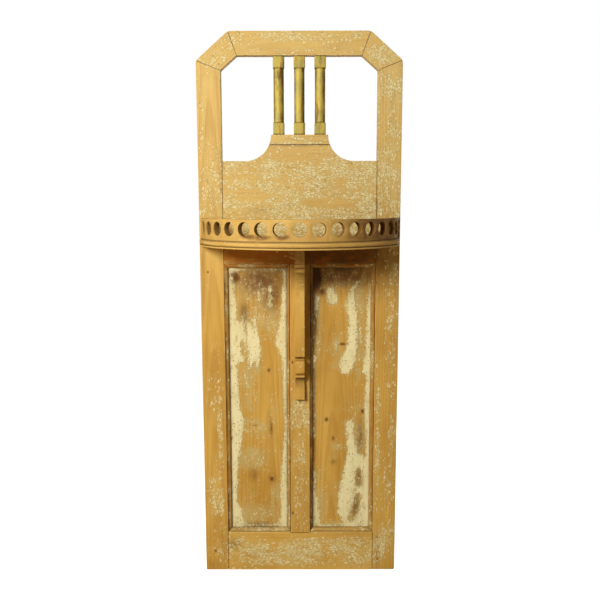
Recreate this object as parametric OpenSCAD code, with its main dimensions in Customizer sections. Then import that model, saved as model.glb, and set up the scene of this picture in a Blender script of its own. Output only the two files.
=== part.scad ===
// Wall-hung hall panel: a pine frame with two panels below, an open top with
// three spindles, and a half-round shelf with a pierced gallery on one console.
// X runs along the width from the centre, Z runs up from the bottom edge, and
// the back lies in the wall plane Y = 0, so the front faces towards -Y.

/* [Frame] */
// Overall width of the frame
frame_w = 650; // [540:5:780]
// Overall height of the frame
frame_h = 1790; // [1490:10:2150]
// Thickness of the stiles, rails and splat
frame_t = 28; // [24:1:34]
// Width of each stile
stile_w = 77; // [60:1:95]
// Width of the top rail
top_rail_w = 74; // [60:1:90]
// Width of the two slanted corner rails
corner_rail_w = 73; // [60:1:90]
// Width that each cut-off corner takes from the top edge
corner_run_x = 101.5; // [80:0.5:125]
// Height that each cut-off corner takes from the side edge
corner_run_z = 89; // [75:0.5:110]
// Width of the bottom rail
bottom_rail_w = 138.6; // [110:0.2:170]
// Width of the middle rail behind the shelf
middle_rail_w = 83; // [70:1:110]
// Width of the muntin between the two panels
muntin_w = 65; // [50:1:80]
// Depth that the muntin's foot is let into the bottom rail
muntin_let_in = 3; // [0:0.5:6]

/* [Splat and spindles] */
// Height of the splat's shoulders above the middle rail
splat_h = 245.5; // [200:0.5:300]
// Radius of the two hollow curves that join the shoulders to the sill
splat_curve_r = 82; // [60:1:100]
// Height of the sill board under the spindles
sill_h = 31; // [26:0.5:45]
// Half width of the sill at its top edge
sill_half_w = 91; // [88:0.5:105]
// Open glue joint between the sill and the splat
sill_open_joint = 0.6; // [0.2:0.1:0.9]
// Spacing of the three spindles
spindle_pitch = 65.5; // [50:0.5:70]
// Width of the spindles' square blocks
spindle_block_w = 36; // [30:0.5:42]
// Height of the spindles' square blocks
spindle_block_h = 37; // [28:0.5:50]
// Diameter of the turned shafts
spindle_d = 33; // [24:0.5:33]
// Diameter of the round tenon at each end of a spindle
spindle_tenon_d = 16; // [10:0.5:18]
// Length of the round tenon at each end of a spindle
spindle_tenon_l = 20; // [12:0.5:22]

/* [Shelf and gallery] */
// Distance from the frame's top edge down to the shelf's top face
shelf_drop = 644; // [600:1:740]
// Projection of the shelf in front of the frame
shelf_d = 292; // [240:1:320]
// Thickness of the shelf board
shelf_t = 22; // [18:0.5:30]
// Height of the round bead on the shelf's edge
edge_bead_h = 13.5; // [10:0.5:15]
// Height of the gallery above the shelf
gallery_h = 65; // [55:1:85]
// Thickness of the gallery
gallery_t = 20; // [16:0.5:26]
// Distance from the shelf's edge back to the gallery
gallery_set_back = 7; // [4:0.5:15]
// Depth of the rebate that the gallery stands in
gallery_rebate = 3; // [2:0.5:5]
// Diameter of the holes through the gallery
hole_d = 42; // [30:0.5:44]
// Height of the holes' centres above the shelf
hole_rise = 36; // [28:0.5:42]
// Spacing of the holes along the gallery's outer face
hole_pitch = 56.7; // [52:0.1:70]
// Place of the joint in the gallery, counted in hole spacings from the centre
gallery_joint = 1.5; // [-3.5:1:3.5]

/* [Console] */
// Thickness of the console under the shelf
console_w = 30; // [24:1:40]
// Projection of the console's top block in front of the frame
console_reach = 120; // [100:1:145]
// Height of the console
console_h = 515; // [430:1:600]
// Projection of the console just under its large cove
console_neck = 46; // [40:1:52]

/* [Panels and mouldings] */
// Thickness of the two panels
panel_t = 10; // [8:0.5:12]
// Distance from the frame's front down to the panels
panel_recess = 10; // [8:0.5:12]
// Width that the panels enter their grooves
panel_tongue = 8; // [6:0.5:10]
// Width of the mouldings along the stiles and rails
bead_w = 14; // [12:0.5:18]
// Width of the mouldings along the muntin
muntin_bead_w = 10; // [9:0.5:14]
// Radius of the mouldings' rounded edge
bead_round_r = 8; // [5:0.5:8]

/* [Joinery] */
// Length of the tenons on rails and splat
tenon_l = 45; // [30:1:52]
// Length of the tenons on the muntin
muntin_tenon_l = 40; // [25:1:50]
// Diameter of the dowels in the corner mitres and the sill
dowel_d = 8; // [6:0.5:10]
// Length of the dowels in the corner mitres and the sill
dowel_l = 36; // [24:1:40]
// Diameter of the dowel in the gallery's joint
gallery_dowel_d = 6; // [4:0.5:7]
// Distance from the frame's top edge down to the hanger holes
hanger_drop = 190; // [160:1:500]
// Diameter of the hanger plates' round hole
hanger_hole_d = 10; // [8:0.5:12]

/* [Hidden] */
$fn = 64;

// Clearances
tenon_clear = 0.15;      // each side of a tenon in its mortise
tenon_end_clear = 1;     // beyond a tenon's end
groove_clear = 0.15;     // each side of a panel in its groove
groove_end_clear = 2;    // beyond a panel's edge, for the wood to move
dowel_clear = 0.05;      // round a dowel, on the radius
screw_clear = 0.05;      // round a screw or pin, on the radius
plate_clear = 0.2;       // round a let-in plate
seat_clear = 0.1;        // each side of the gallery in its rebate
through = 1;             // how far a cutting shape runs past a face

// Frame
half_w = frame_w / 2;
inner_half_w = half_w - stile_w;
top_rail_z = frame_h - top_rail_w;
shelf_z = frame_h - shelf_drop;
hanger_z = frame_h - hanger_drop;
middle_rail_z = shelf_z - middle_rail_w;
corner_len = norm([corner_run_x, corner_run_z]);
inner_corner_line = corner_run_z * half_w + corner_run_x * (frame_h - corner_run_z)
    - corner_rail_w * corner_len;
outer_top = [half_w - corner_run_x, frame_h];
outer_side = [half_w, frame_h - corner_run_z];
inner_top = [(inner_corner_line - corner_run_x * top_rail_z) / corner_run_z, top_rail_z];
inner_side = [inner_half_w, (inner_corner_line - corner_run_z * inner_half_w) / corner_run_x];
muntin_half_w = muntin_w / 2;
muntin_foot_z = bottom_rail_w - muntin_let_in;

// Panels lie in grooves whose middle is also the middle of every tenon
groove_back = frame_t - panel_recess - panel_t;
tenon_shoulder = 11;     // least wood above and below a tenon
haunch = panel_tongue + groove_end_clear;

// Splat, sill and spindles
shoulder_z = shelf_z + splat_h;
sill_top_z = shoulder_z + splat_curve_r;
sill_z = sill_top_z - sill_h;
curve_x = sill_half_w + splat_curve_r;
splat_tenon_h = splat_h * 0.28;
spindle_xs = [-spindle_pitch, 0, spindle_pitch];
spindle_y = -frame_t / 2;
sill_dowel_xs = [-spindle_pitch / 2, spindle_pitch / 2];
sill_dowel_foot = dowel_l - sill_h * 0.35;

// Shelf and gallery share one centre line, upright behind the frame's front
shelf_r = (half_w * half_w + shelf_d * shelf_d) / (2 * shelf_d);
shelf_cy = shelf_r - shelf_d - frame_t;
shelf_under_z = shelf_z - shelf_t;
edge_step = 2.5;         // flat above the edge bead
edge_fillet_h = 4.8;     // square fillet under the edge bead
edge_fillet_in = 1.5;    // fillet's distance behind the bead
edge_quirk = 4.5;        // depth of the groove between bead and fillet
gallery_r = shelf_r - gallery_set_back;
gallery_in_r = gallery_r - gallery_t;
gallery_mid_r = gallery_r - gallery_t / 2;
gallery_foot_z = shelf_z - gallery_rebate;
gallery_round = 2.5;     // rounded top edges
hole_step = hole_pitch / gallery_r * 180 / PI;
hole_z = shelf_z + hole_rise;
gallery_half_turn = acos((shelf_cy + frame_t) / gallery_r);
hole_half_turn = asin(hole_d / 2 / gallery_in_r);
hole_side = floor((gallery_half_turn - hole_half_turn - 2) / hole_step);
seam_turn = gallery_joint * hole_step;
gallery_dowel_l = 30;
gallery_dowel_z = (gallery_foot_z + hole_z - hole_d / 2) / 2;

// Console: heights are counted down from the shelf
console_cap_h = 52;
console_astragal_r = 6;
console_quirk_h = 5;
console_fillet_h = 10;
console_fillet_in = 4;
console_cove_r = console_reach - console_fillet_in - console_neck;
console_cove_z = -console_cap_h - 2 * console_astragal_r - console_quirk_h - console_fillet_h;
console_shaft_z = console_cove_z - console_cove_r;
console_foot_h = 151;    // notch, nose, fillet and drop at the lower end
console_foot_z = -console_h + console_foot_h;
console_waist = 34;      // projection just above the notch
console_notch = 16;
console_notch_h = 14;
console_nose = 36;
console_nose_h = 44;
console_nose_round = 8;
console_low_quirk_h = 5;
console_low_quirk = 24;
console_low_fillet_h = 7;
console_low_fillet = 30;
console_drop = 12;       // projection at the top of the drop
console_drop_end = 18;   // projection at the bottom of the drop
console_drop_round = 3;
nose_z = console_foot_z - console_notch_h;
quirk_z = nose_z - console_nose_h;
fillet_z = quirk_z - console_low_quirk_h;
cove_z = fillet_z - console_low_fillet_h;
low_cove_r = console_low_fillet - console_drop;
drop_z = cove_z - low_cove_r;

// Mouldings
bead_h = panel_recess - 0.5;
bead_quirk_w = 1.5;
bead_quirk_h = 2.5;
pin_d = 1.4;
pin_grip = 12;           // length of a pin in the frame
pin_sunk = 1.2;          // depth of a pin's head under the moulding's face
pin_y = -frame_t + panel_recess - 4;
pin_shares = [1 / 6, 1 / 2, 5 / 6];

// Hanger plates and screws
hanger_x = half_w - stile_w / 2;
hanger_w = 24;
hanger_h = 66;
hanger_t = 2.5;
hanger_slot_w = 5;
hanger_slot_rise = 12;
hanger_pocket_w = 15;
hanger_pocket_d = 10;
hanger_screw_rise = 25;
hanger_screw_d = 3.5;
hanger_screw_l = 18;
wood_screw_d = 5;
light_screw_d = 4;
shelf_screw_l = frame_t + 45;
shelf_screw_share = [-1, -1 / 3, 1 / 3, 1];
shelf_screw_z = shelf_z - shelf_t / 2;
console_back_screw_l = frame_t + 22;
console_top_screw_l = shelf_t + 36;
console_top_screw_ys = [console_reach * 0.28, console_reach * 0.75];
gallery_screw_l = shelf_t + 18;
gallery_screw_steps = [for (k = [-hole_side:2:hole_side - 1])
    if (abs(k + 0.5 - gallery_joint) > 0.6) k + 0.5];

pine = "#D6B26A";
old_pine = "#C99B4A";
brown_pine = "#8A5A22";
cream = "#E2D3A4";
gilt = "#C2A648";
steel = "#8E8E8A";

// A flat outline in X and Z, from the depth back to the depth back + thick
module upright(back, thick) {
    translate([0, -back, 0]) rotate([90, 0, 0]) linear_extrude(thick) children();
}

// A side outline, projection by height, across the width w about the centre
module across(w) {
    translate([-w / 2, -frame_t, 0]) rotate([90, 0, 90]) linear_extrude(w)
        mirror([1, 0]) children();
}

module box_between(low, high) {
    translate(low) cube(high - low);
}

// A countersunk screw that points along -Z with its head's face at the origin
module screw(d, length, grow = 0) {
    head_r = d + grow;
    shank_r = d / 2 + grow;
    head_h = d / 2;
    tip_h = d;
    if (grow > 0) cylinder(r = head_r, h = through);
    translate([0, 0, -head_h]) cylinder(r1 = shank_r, r2 = head_r, h = head_h);
    translate([0, 0, -length + tip_h]) cylinder(r = shank_r, h = length - tip_h - head_h);
    translate([0, 0, -length - grow])
        cylinder(r1 = grow > 0 ? shank_r : d / 10, r2 = shank_r, h = tip_h + grow);
}

// The screws that enter from the back point along -Y
module from_back(x, z) {
    translate([x, 0, z]) rotate([-90, 0, 0]) children();
}

// ---- Fastener groups: the same shapes are the pieces and their holes ----

module shelf_screw_set(grow = 0) {
    rail_reach = inner_half_w * 0.72;
    for (s = shelf_screw_share)
        from_back(s * rail_reach, shelf_screw_z) screw(wood_screw_d, shelf_screw_l, grow);
    for (s = [-1, 1])
        from_back(s * (inner_half_w + stile_w * 0.3), shelf_screw_z)
            screw(wood_screw_d, shelf_screw_l - 18, grow);
}

module console_back_screw_set(grow = 0) {
    for (z = [-console_cap_h * 0.65, (console_shaft_z + console_foot_z) / 2,
              console_foot_z - console_notch_h - console_nose_h / 2])
        from_back(0, shelf_under_z + z) screw(wood_screw_d, console_back_screw_l, grow);
}

module console_top_screw_set(grow = 0) {
    for (y = console_top_screw_ys)
        translate([0, -frame_t - y, shelf_z]) screw(wood_screw_d, console_top_screw_l, grow);
}

module gallery_screw_set(grow = 0) {
    for (k = gallery_screw_steps)
        translate([0, shelf_cy, shelf_under_z]) rotate([0, 0, k * hole_step])
            translate([0, -gallery_mid_r, 0]) mirror([0, 0, 1])
                screw(light_screw_d, gallery_screw_l, grow);
}

module hanger_screw_set(grow = 0) {
    for (side = [-1, 1], up = [-1, 1])
        from_back(side * hanger_x, hanger_z + up * hanger_screw_rise)
            screw(hanger_screw_d, hanger_screw_l, grow);
}

module gallery_dowel_shape(grow = 0) {
    translate([0, shelf_cy, gallery_dowel_z]) rotate([0, 0, seam_turn])
        translate([0, -gallery_mid_r, 0]) rotate([0, 90, 0])
            cylinder(d = gallery_dowel_d + 2 * grow, h = gallery_dowel_l + 4 * grow, center = true);
}

// Two dowels square across the joint that runs from the point a to the point b
module mitre_dowels(a, b, grow = 0) {
    run = (b - a) / norm(b - a);
    turn = atan2(run[1], -run[0]);
    for (share = [0.32, 0.7]) {
        at = a + (b - a) * share;
        translate([at[0], -frame_t / 2, at[1]]) rotate([0, turn, 0])
            cylinder(d = dowel_d + 2 * grow, h = dowel_l + 4 * grow, center = true);
    }
}

module corner_dowel_set(grow = 0) {
    for (side = [0, 1]) mirror([side, 0, 0]) {
        mitre_dowels(outer_top, inner_top, grow);
        mitre_dowels(outer_side, inner_side, grow);
    }
}

module sill_dowel_set(grow = 0) {
    for (x = sill_dowel_xs)
        translate([x, spindle_y, sill_z - sill_dowel_foot - 2 * grow])
            cylinder(d = dowel_d + 2 * grow, h = dowel_l + 4 * grow);
}

// A pin through a moulding of width w: it starts inside the moulding and runs along -Z
module pin(w, grow = 0) {
    start = w - pin_sunk + (grow > 0 ? pin_sunk + through : 0);
    translate([0, 0, -pin_grip - grow])
        cylinder(d = pin_d + 2 * grow, h = start + pin_grip + grow);
}

module moulding_pins_right(grow = 0) {
    wide = inner_half_w - muntin_half_w;
    high = middle_rail_z - bottom_rail_w;
    for (s = pin_shares) {
        translate([muntin_half_w + wide * s, pin_y, bottom_rail_w]) pin(bead_w, grow);
        translate([muntin_half_w + wide * s, pin_y, middle_rail_z]) mirror([0, 0, 1]) pin(bead_w, grow);
        translate([muntin_half_w, pin_y, bottom_rail_w + high * s]) rotate([0, 90, 0])
            pin(muntin_bead_w, grow);
        translate([inner_half_w, pin_y, bottom_rail_w + high * s]) rotate([0, -90, 0])
            pin(bead_w, grow);
    }
}

module moulding_pin_set(grow = 0) {
    for (side = [0, 1]) mirror([side, 0, 0]) moulding_pins_right(grow);
}

// ---- Joinery shapes ----

// A block in the tenon's thickness, from the low corner to the high corner in X and Z
module tongue(low, high, clear = 0) {
    box_between([low[0], -groove_back - panel_t - clear, low[1]],
                [high[0], -groove_back + clear, high[1]]);
}

// A rail's tenon on the right, and the same shape larger as its mortise
module rail_tenon(z_low, z_high, mortise = false) {
    clear = mortise ? tenon_clear : 0;
    extra = mortise ? tenon_end_clear : 0;
    start = inner_half_w - (mortise ? through : 0);
    tongue([start, z_low - clear], [inner_half_w + tenon_l + extra, z_high + clear], clear);
}

module bottom_rail_tenon(mortise = false) {
    rail_tenon(tenon_shoulder, bottom_rail_w - haunch - tenon_shoulder, mortise);
}

module middle_rail_tenon(mortise = false) {
    rail_tenon(middle_rail_z + haunch + 2, shelf_z - tenon_shoulder, mortise);
}

module splat_tenons(mortise = false) {
    gap = splat_h * 0.12;
    rail_tenon(shelf_z + gap, shelf_z + gap + splat_tenon_h, mortise);
    rail_tenon(shoulder_z - gap - splat_tenon_h, shoulder_z - gap, mortise);
}

module muntin_tenons(mortise = false) {
    clear = mortise ? tenon_clear : 0;
    extra = mortise ? tenon_end_clear : 0;
    inset = haunch + 3;
    tongue([-muntin_half_w + inset - clear, muntin_foot_z - muntin_tenon_l - extra],
           [muntin_half_w - inset + clear, muntin_foot_z + (mortise ? through : 0)], clear);
    tongue([-muntin_half_w + inset - clear, middle_rail_z - (mortise ? through : 0)],
           [muntin_half_w - inset + clear, middle_rail_z + muntin_tenon_l + extra], clear);
}

// The panel on the right, and the same shape larger as its groove
module panel_right(grow = false) {
    clear = grow ? groove_clear : 0;
    reach = panel_tongue + (grow ? groove_end_clear : 0);
    tongue([muntin_half_w - reach, bottom_rail_w - reach],
           [inner_half_w + reach, middle_rail_z + reach], clear);
}

module panel_grooves() {
    for (side = [0, 1]) mirror([side, 0, 0]) panel_right(grow = true);
}

// ---- Frame ----

module stile_right() {
    difference() {
        upright(0, frame_t)
            polygon([[inner_half_w, 0], [half_w, 0], outer_side, inner_side]);
        bottom_rail_tenon(true);
        middle_rail_tenon(true);
        splat_tenons(true);
        panel_right(grow = true);
        hanger_recess();
        corner_dowel_set(dowel_clear);
        shelf_screw_set(screw_clear);
        hanger_screw_set(screw_clear);
        moulding_pin_set(screw_clear);
    }
}

module left_stile() {
    color(pine) mirror([1, 0, 0]) stile_right();
}

module right_stile() {
    color(pine) stile_right();
}

module top_rail() {
    color(pine) difference() {
        upright(0, frame_t) polygon([
            [-outer_top[0], outer_top[1]], [-inner_top[0], inner_top[1]], inner_top, outer_top
        ]);
        corner_dowel_set(dowel_clear);
        for (x = spindle_xs) translate([x, spindle_y, top_rail_z - through])
            cylinder(d = spindle_tenon_d + 2 * dowel_clear,
                     h = spindle_tenon_l + tenon_end_clear + through);
    }
}

module corner_rail_right() {
    difference() {
        upright(0, frame_t) polygon([inner_top, outer_top, outer_side, inner_side]);
        corner_dowel_set(dowel_clear);
    }
}

module left_corner_rail() {
    color(pine) mirror([1, 0, 0]) corner_rail_right();
}

module right_corner_rail() {
    color(pine) corner_rail_right();
}

module middle_rail() {
    color(old_pine) difference() {
        union() {
            upright(0, frame_t) polygon([
                [-inner_half_w, middle_rail_z], [inner_half_w, middle_rail_z],
                [inner_half_w, shelf_z], [-inner_half_w, shelf_z]
            ]);
            for (side = [0, 1]) mirror([side, 0, 0]) middle_rail_tenon();
        }
        panel_grooves();
        muntin_tenons(true);
        shelf_screw_set(screw_clear);
        console_back_screw_set(screw_clear);
        moulding_pin_set(screw_clear);
    }
}

module bottom_rail() {
    color(pine) difference() {
        union() {
            upright(0, frame_t) polygon([
                [-inner_half_w, 0], [inner_half_w, 0],
                [inner_half_w, bottom_rail_w], [-inner_half_w, bottom_rail_w]
            ]);
            for (side = [0, 1]) mirror([side, 0, 0]) bottom_rail_tenon();
        }
        panel_grooves();
        muntin_tenons(true);
        box_between([-muntin_half_w, -frame_t - through, muntin_foot_z],
                    [muntin_half_w, through, bottom_rail_w + through]);
        moulding_pin_set(screw_clear);
    }
}

module muntin() {
    color(pine) difference() {
        union() {
            box_between([-muntin_half_w, -frame_t, muntin_foot_z],
                        [muntin_half_w, 0, middle_rail_z]);
            muntin_tenons();
        }
        panel_grooves();
        console_back_screw_set(screw_clear);
        moulding_pin_set(screw_clear);
    }
}

// ---- Splat, sill and spindles ----

// Everything under the two hollow curves, up to the height top
module swept_outline(top) {
    difference() {
        translate([-curve_x, shoulder_z]) square([2 * curve_x, top - shoulder_z]);
        for (side = [-1, 1]) translate([side * curve_x, sill_top_z]) circle(r = splat_curve_r, $fn = 128);
    }
}

module splat() {
    color(old_pine) difference() {
        union() {
            upright(0, frame_t) union() {
                translate([-inner_half_w, shelf_z]) square([2 * inner_half_w, splat_h]);
                swept_outline(sill_z - sill_open_joint);
            }
            for (side = [0, 1]) mirror([side, 0, 0]) splat_tenons();
        }
        sill_dowel_set(dowel_clear);
    }
}

module spindle_sill() {
    color(old_pine) difference() {
        upright(0, frame_t) intersection() {
            swept_outline(sill_top_z);
            translate([-curve_x, sill_z]) square([2 * curve_x, sill_h]);
        }
        sill_dowel_set(dowel_clear);
        for (x = spindle_xs)
            translate([x, spindle_y, sill_top_z - spindle_tenon_l - tenon_end_clear])
                cylinder(d = spindle_tenon_d + 2 * dowel_clear,
                         h = spindle_tenon_l + tenon_end_clear + through);
    }
}

// A turned shaft between square blocks, planed flat at the back
module spindle(x) {
    block_low = sill_top_z;
    block_high = top_rail_z - spindle_block_h;
    half_block = spindle_block_w / 2;
    for (z = [block_low, block_high])
        box_between([x - half_block, -frame_t, z], [x + half_block, 0, z + spindle_block_h]);
    intersection() {
        translate([x, -frame_t + spindle_d / 2, block_low])
            cylinder(d = spindle_d, h = top_rail_z - block_low);
        box_between([x - half_block, -frame_t - through, block_low],
                    [x + half_block, 0, top_rail_z]);
    }
    translate([x, spindle_y, block_low - spindle_tenon_l])
        cylinder(d = spindle_tenon_d, h = top_rail_z - block_low + 2 * spindle_tenon_l);
}

module left_spindle() {
    color(gilt) spindle(spindle_xs[0]);
}

module centre_spindle() {
    color(gilt) spindle(spindle_xs[1]);
}

module right_spindle() {
    color(gilt) spindle(spindle_xs[2]);
}

// ---- Panels and their mouldings ----

module left_panel() {
    color(cream) mirror([1, 0, 0]) panel_right();
}

module right_panel() {
    color(cream) panel_right();
}

// Height above the panel by distance from the frame's edge
module moulding_outline(w) {
    difference() {
        intersection() {
            square([bead_h, w]);
            union() {
                square([bead_h - bead_round_r, w]);
                square([bead_h, w - bead_round_r]);
                translate([bead_h - bead_round_r, w - bead_round_r]) circle(r = bead_round_r);
            }
        }
        translate([bead_h - bead_quirk_h, -through])
            square([bead_quirk_h + through, bead_quirk_w + through]);
    }
}

// A length of moulding along X with its outer edge on X, mitred to its neighbours' widths
module moulding(length, w, first_w, last_w) {
    intersection() {
        rotate([90, 0, 90]) linear_extrude(length) mirror([1, 0]) moulding_outline(w);
        upright(-through, bead_h + 2 * through)
            polygon([[0, 0], [length, 0], [length - last_w, w], [first_w, w]]);
    }
}

// One of the four mouldings of the right-hand panel
module moulding_right(side) {
    wide = inner_half_w - muntin_half_w;
    high = middle_rail_z - bottom_rail_w;
    y = -frame_t + panel_recess;
    difference() {
        if (side == "bottom")
            translate([muntin_half_w, y, bottom_rail_w])
                moulding(wide, bead_w, muntin_bead_w, bead_w);
        else if (side == "top")
            translate([muntin_half_w, y, middle_rail_z]) mirror([0, 0, 1])
                moulding(wide, bead_w, muntin_bead_w, bead_w);
        else if (side == "muntin")
            translate([muntin_half_w, y, bottom_rail_w]) mirror([1, 0, 0]) rotate([0, -90, 0])
                moulding(high, muntin_bead_w, bead_w, bead_w);
        else
            translate([inner_half_w, y, bottom_rail_w]) rotate([0, -90, 0])
                moulding(high, bead_w, bead_w, bead_w);
        moulding_pin_set(screw_clear);
    }
}

module left_top_moulding() {
    color(brown_pine) mirror([1, 0, 0]) moulding_right("top");
}

module left_bottom_moulding() {
    color(brown_pine) mirror([1, 0, 0]) moulding_right("bottom");
}

module left_stile_moulding() {
    color(brown_pine) mirror([1, 0, 0]) moulding_right("stile");
}

module left_muntin_moulding() {
    color(brown_pine) mirror([1, 0, 0]) moulding_right("muntin");
}

module right_top_moulding() {
    color(brown_pine) moulding_right("top");
}

module right_bottom_moulding() {
    color(brown_pine) moulding_right("bottom");
}

module right_stile_moulding() {
    color(brown_pine) moulding_right("stile");
}

module right_muntin_moulding() {
    color(brown_pine) moulding_right("muntin");
}

// ---- Shelf and gallery ----

// Only what lies in front of the frame
module in_front() {
    size = shelf_r + through;
    intersection() {
        children();
        box_between([-size, -frame_t - shelf_d - through, shelf_under_z - through],
                    [size, -frame_t, shelf_z + gallery_h + through]);
    }
}

module round_shelf_centre() {
    translate([0, shelf_cy, 0]) rotate_extrude($fn = 128) children();
}

module shelf_edge_outline() {
    bead_r = edge_bead_h / 2;
    translate([0, shelf_under_z]) {
        square([shelf_r - edge_quirk, shelf_t]);
        square([shelf_r - edge_fillet_in, edge_fillet_h]);
        translate([shelf_r - bead_r, shelf_t - edge_step - bead_r]) circle(r = bead_r);
    }
}

module shelf_board() {
    color(old_pine) difference() {
        in_front() round_shelf_centre() difference() {
            shelf_edge_outline();
            translate([gallery_in_r - seat_clear, gallery_foot_z])
                square([gallery_t + 2 * seat_clear, gallery_rebate + through]);
        }
        shelf_screw_set(screw_clear);
        console_top_screw_set(screw_clear);
        gallery_screw_set(screw_clear);
    }
}

module gallery_outline() {
    square_h = gallery_rebate + gallery_h - gallery_round;
    translate([gallery_in_r, gallery_foot_z]) {
        square([gallery_t, square_h]);
        translate([gallery_round, 0]) square([gallery_t - 2 * gallery_round, square_h + gallery_round]);
        for (x = [gallery_round, gallery_t - gallery_round])
            translate([x, square_h]) circle(r = gallery_round);
    }
}

// The pierced gallery on one side of its joint: -1 is the left, 1 is the right
module gallery_part(side) {
    size = 2 * shelf_r;
    difference() {
        intersection() {
            in_front() round_shelf_centre() gallery_outline();
            translate([0, shelf_cy, 0]) rotate([0, 0, seam_turn])
                translate([side < 0 ? -size : 0, -size, 0]) cube([size, 2 * size, frame_h]);
        }
        for (k = [-hole_side:hole_side])
            if (side * (k - gallery_joint) > 0)
                translate([0, shelf_cy, hole_z]) rotate([0, 0, k * hole_step])
                    translate([0, -gallery_mid_r, 0]) rotate([90, 0, 0])
                        cylinder(d = hole_d, h = 2 * gallery_t, center = true);
        gallery_screw_set(screw_clear);
        gallery_dowel_shape(dowel_clear);
    }
}

module gallery_left() {
    color(old_pine) gallery_part(-1);
}

module gallery_right() {
    color(brown_pine) gallery_part(1);
}

// ---- Console ----

// Square block, astragal, quirk and fillet above the large cove
module console_head_outline() {
    astragal_z = -console_cap_h - console_astragal_r;
    fillet_p = console_reach - console_fillet_in;
    translate([0, -console_cap_h]) square([console_reach, console_cap_h]);
    translate([0, astragal_z - console_astragal_r]) square([console_reach, 2 * console_astragal_r]);
    translate([console_reach, astragal_z]) circle(r = console_astragal_r);
    translate([0, console_cove_z]) square([fillet_p - console_fillet_in, -console_cove_z - console_cap_h]);
    translate([0, console_cove_z]) square([fillet_p, console_fillet_h]);
    difference() {
        translate([0, console_shaft_z]) square([fillet_p, console_cove_r]);
        translate([fillet_p, console_shaft_z]) circle(r = console_cove_r, $fn = 128);
    }
}

// Long tapered front from the cove down to the notch
module console_shaft_outline() {
    polygon([
        [0, console_shaft_z], [console_neck, console_shaft_z], [console_waist, console_foot_z],
        [console_notch, console_foot_z - console_notch_h / 2], [console_notch, nose_z], [0, nose_z]
    ]);
}

// Round nose, quirk, fillet and small cove
module console_nose_outline() {
    flat_p = console_nose - console_nose_round;
    translate([0, quirk_z]) square([flat_p, console_nose_h]);
    translate([0, quirk_z + console_nose_round])
        square([console_nose, console_nose_h - 2 * console_nose_round]);
    for (z = [nose_z - console_nose_round, quirk_z + console_nose_round])
        translate([flat_p, z]) circle(r = console_nose_round);
    translate([0, fillet_z]) square([console_low_quirk, console_low_quirk_h]);
    translate([0, cove_z]) square([console_low_fillet, console_low_fillet_h]);
    difference() {
        translate([0, drop_z]) square([console_low_fillet, low_cove_r]);
        translate([console_low_fillet, drop_z]) circle(r = low_cove_r);
    }
}

// Slanted drop at the lower end
module console_drop_outline() {
    polygon([
        [0, drop_z], [console_drop, drop_z],
        [console_drop_end, -console_h + console_drop_round],
        [console_drop_end - console_drop_round, -console_h], [0, -console_h]
    ]);
}

module console() {
    color(old_pine) difference() {
        translate([0, 0, shelf_under_z]) {
            across(console_w) console_head_outline();
            across(console_w) console_shaft_outline();
            across(console_w) console_nose_outline();
            across(console_w) console_drop_outline();
        }
        console_back_screw_set(screw_clear);
        console_top_screw_set(screw_clear);
    }
}

// ---- Hanger plates ----

// Round hole with a narrow slot above it
module keyhole(d, slot_w, rise) {
    circle(d = d);
    translate([-slot_w / 2, 0]) square([slot_w, rise]);
    translate([0, rise]) circle(d = slot_w);
}

module hanger_right() {
    difference() {
        translate([hanger_x, 0, hanger_z]) upright(0, hanger_t) difference() {
            square([hanger_w, hanger_h], center = true);
            keyhole(hanger_hole_d, hanger_slot_w, hanger_slot_rise);
        }
        hanger_screw_set(screw_clear);
    }
}

// Seat of the plate and the pocket for the wall screw's head behind it
module hanger_recess() {
    translate([hanger_x, 0, hanger_z]) {
        upright(-through, hanger_t + through)
            square([hanger_w + 2 * plate_clear, hanger_h + 2 * plate_clear], center = true);
        upright(0, hanger_t + hanger_pocket_d)
            keyhole(hanger_pocket_w, hanger_pocket_w, hanger_slot_rise);
    }
}

module left_hanger() {
    color(steel) mirror([1, 0, 0]) hanger_right();
}

module right_hanger() {
    color(steel) hanger_right();
}

// ---- Fasteners ----

module hanger_screws() {
    color(steel) hanger_screw_set();
}

module shelf_screws() {
    color(steel) shelf_screw_set();
}

module console_back_screws() {
    color(steel) console_back_screw_set();
}

module console_top_screws() {
    color(steel) console_top_screw_set();
}

module gallery_screws() {
    color(steel) gallery_screw_set();
}

module moulding_pins() {
    color(steel) moulding_pin_set();
}

module corner_dowels() {
    color(cream) corner_dowel_set();
}

module sill_dowels() {
    color(cream) sill_dowel_set();
}

module gallery_dowel() {
    color(cream) gallery_dowel_shape();
}

left_stile();
right_stile();
top_rail();
left_corner_rail();
right_corner_rail();
left_spindle();
centre_spindle();
right_spindle();
spindle_sill();
splat();
middle_rail();
muntin();
bottom_rail();
left_panel();
right_panel();
left_top_moulding();
left_bottom_moulding();
left_stile_moulding();
left_muntin_moulding();
right_top_moulding();
right_bottom_moulding();
right_stile_moulding();
right_muntin_moulding();
shelf_board();
gallery_left();
gallery_right();
console();
left_hanger();
right_hanger();
hanger_screws();
shelf_screws();
console_back_screws();
console_top_screws();
gallery_screws();
moulding_pins();
corner_dowels();
sill_dowels();
gallery_dowel();
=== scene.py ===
"""Looks of the wall-hung hall panel, laid out as a Blender add-on and run as a script.

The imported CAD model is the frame. Worn boards, panels, mouldings and spindles are surfaces worked out with
numpy and stand for their CAD nodes; the shelf, gallery, console and fixings stay CAD nodes and get materials.
Lengths are metres, +Z is up, the wall is the plane Y = 0 and the front faces -Y.
"""
import math

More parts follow.
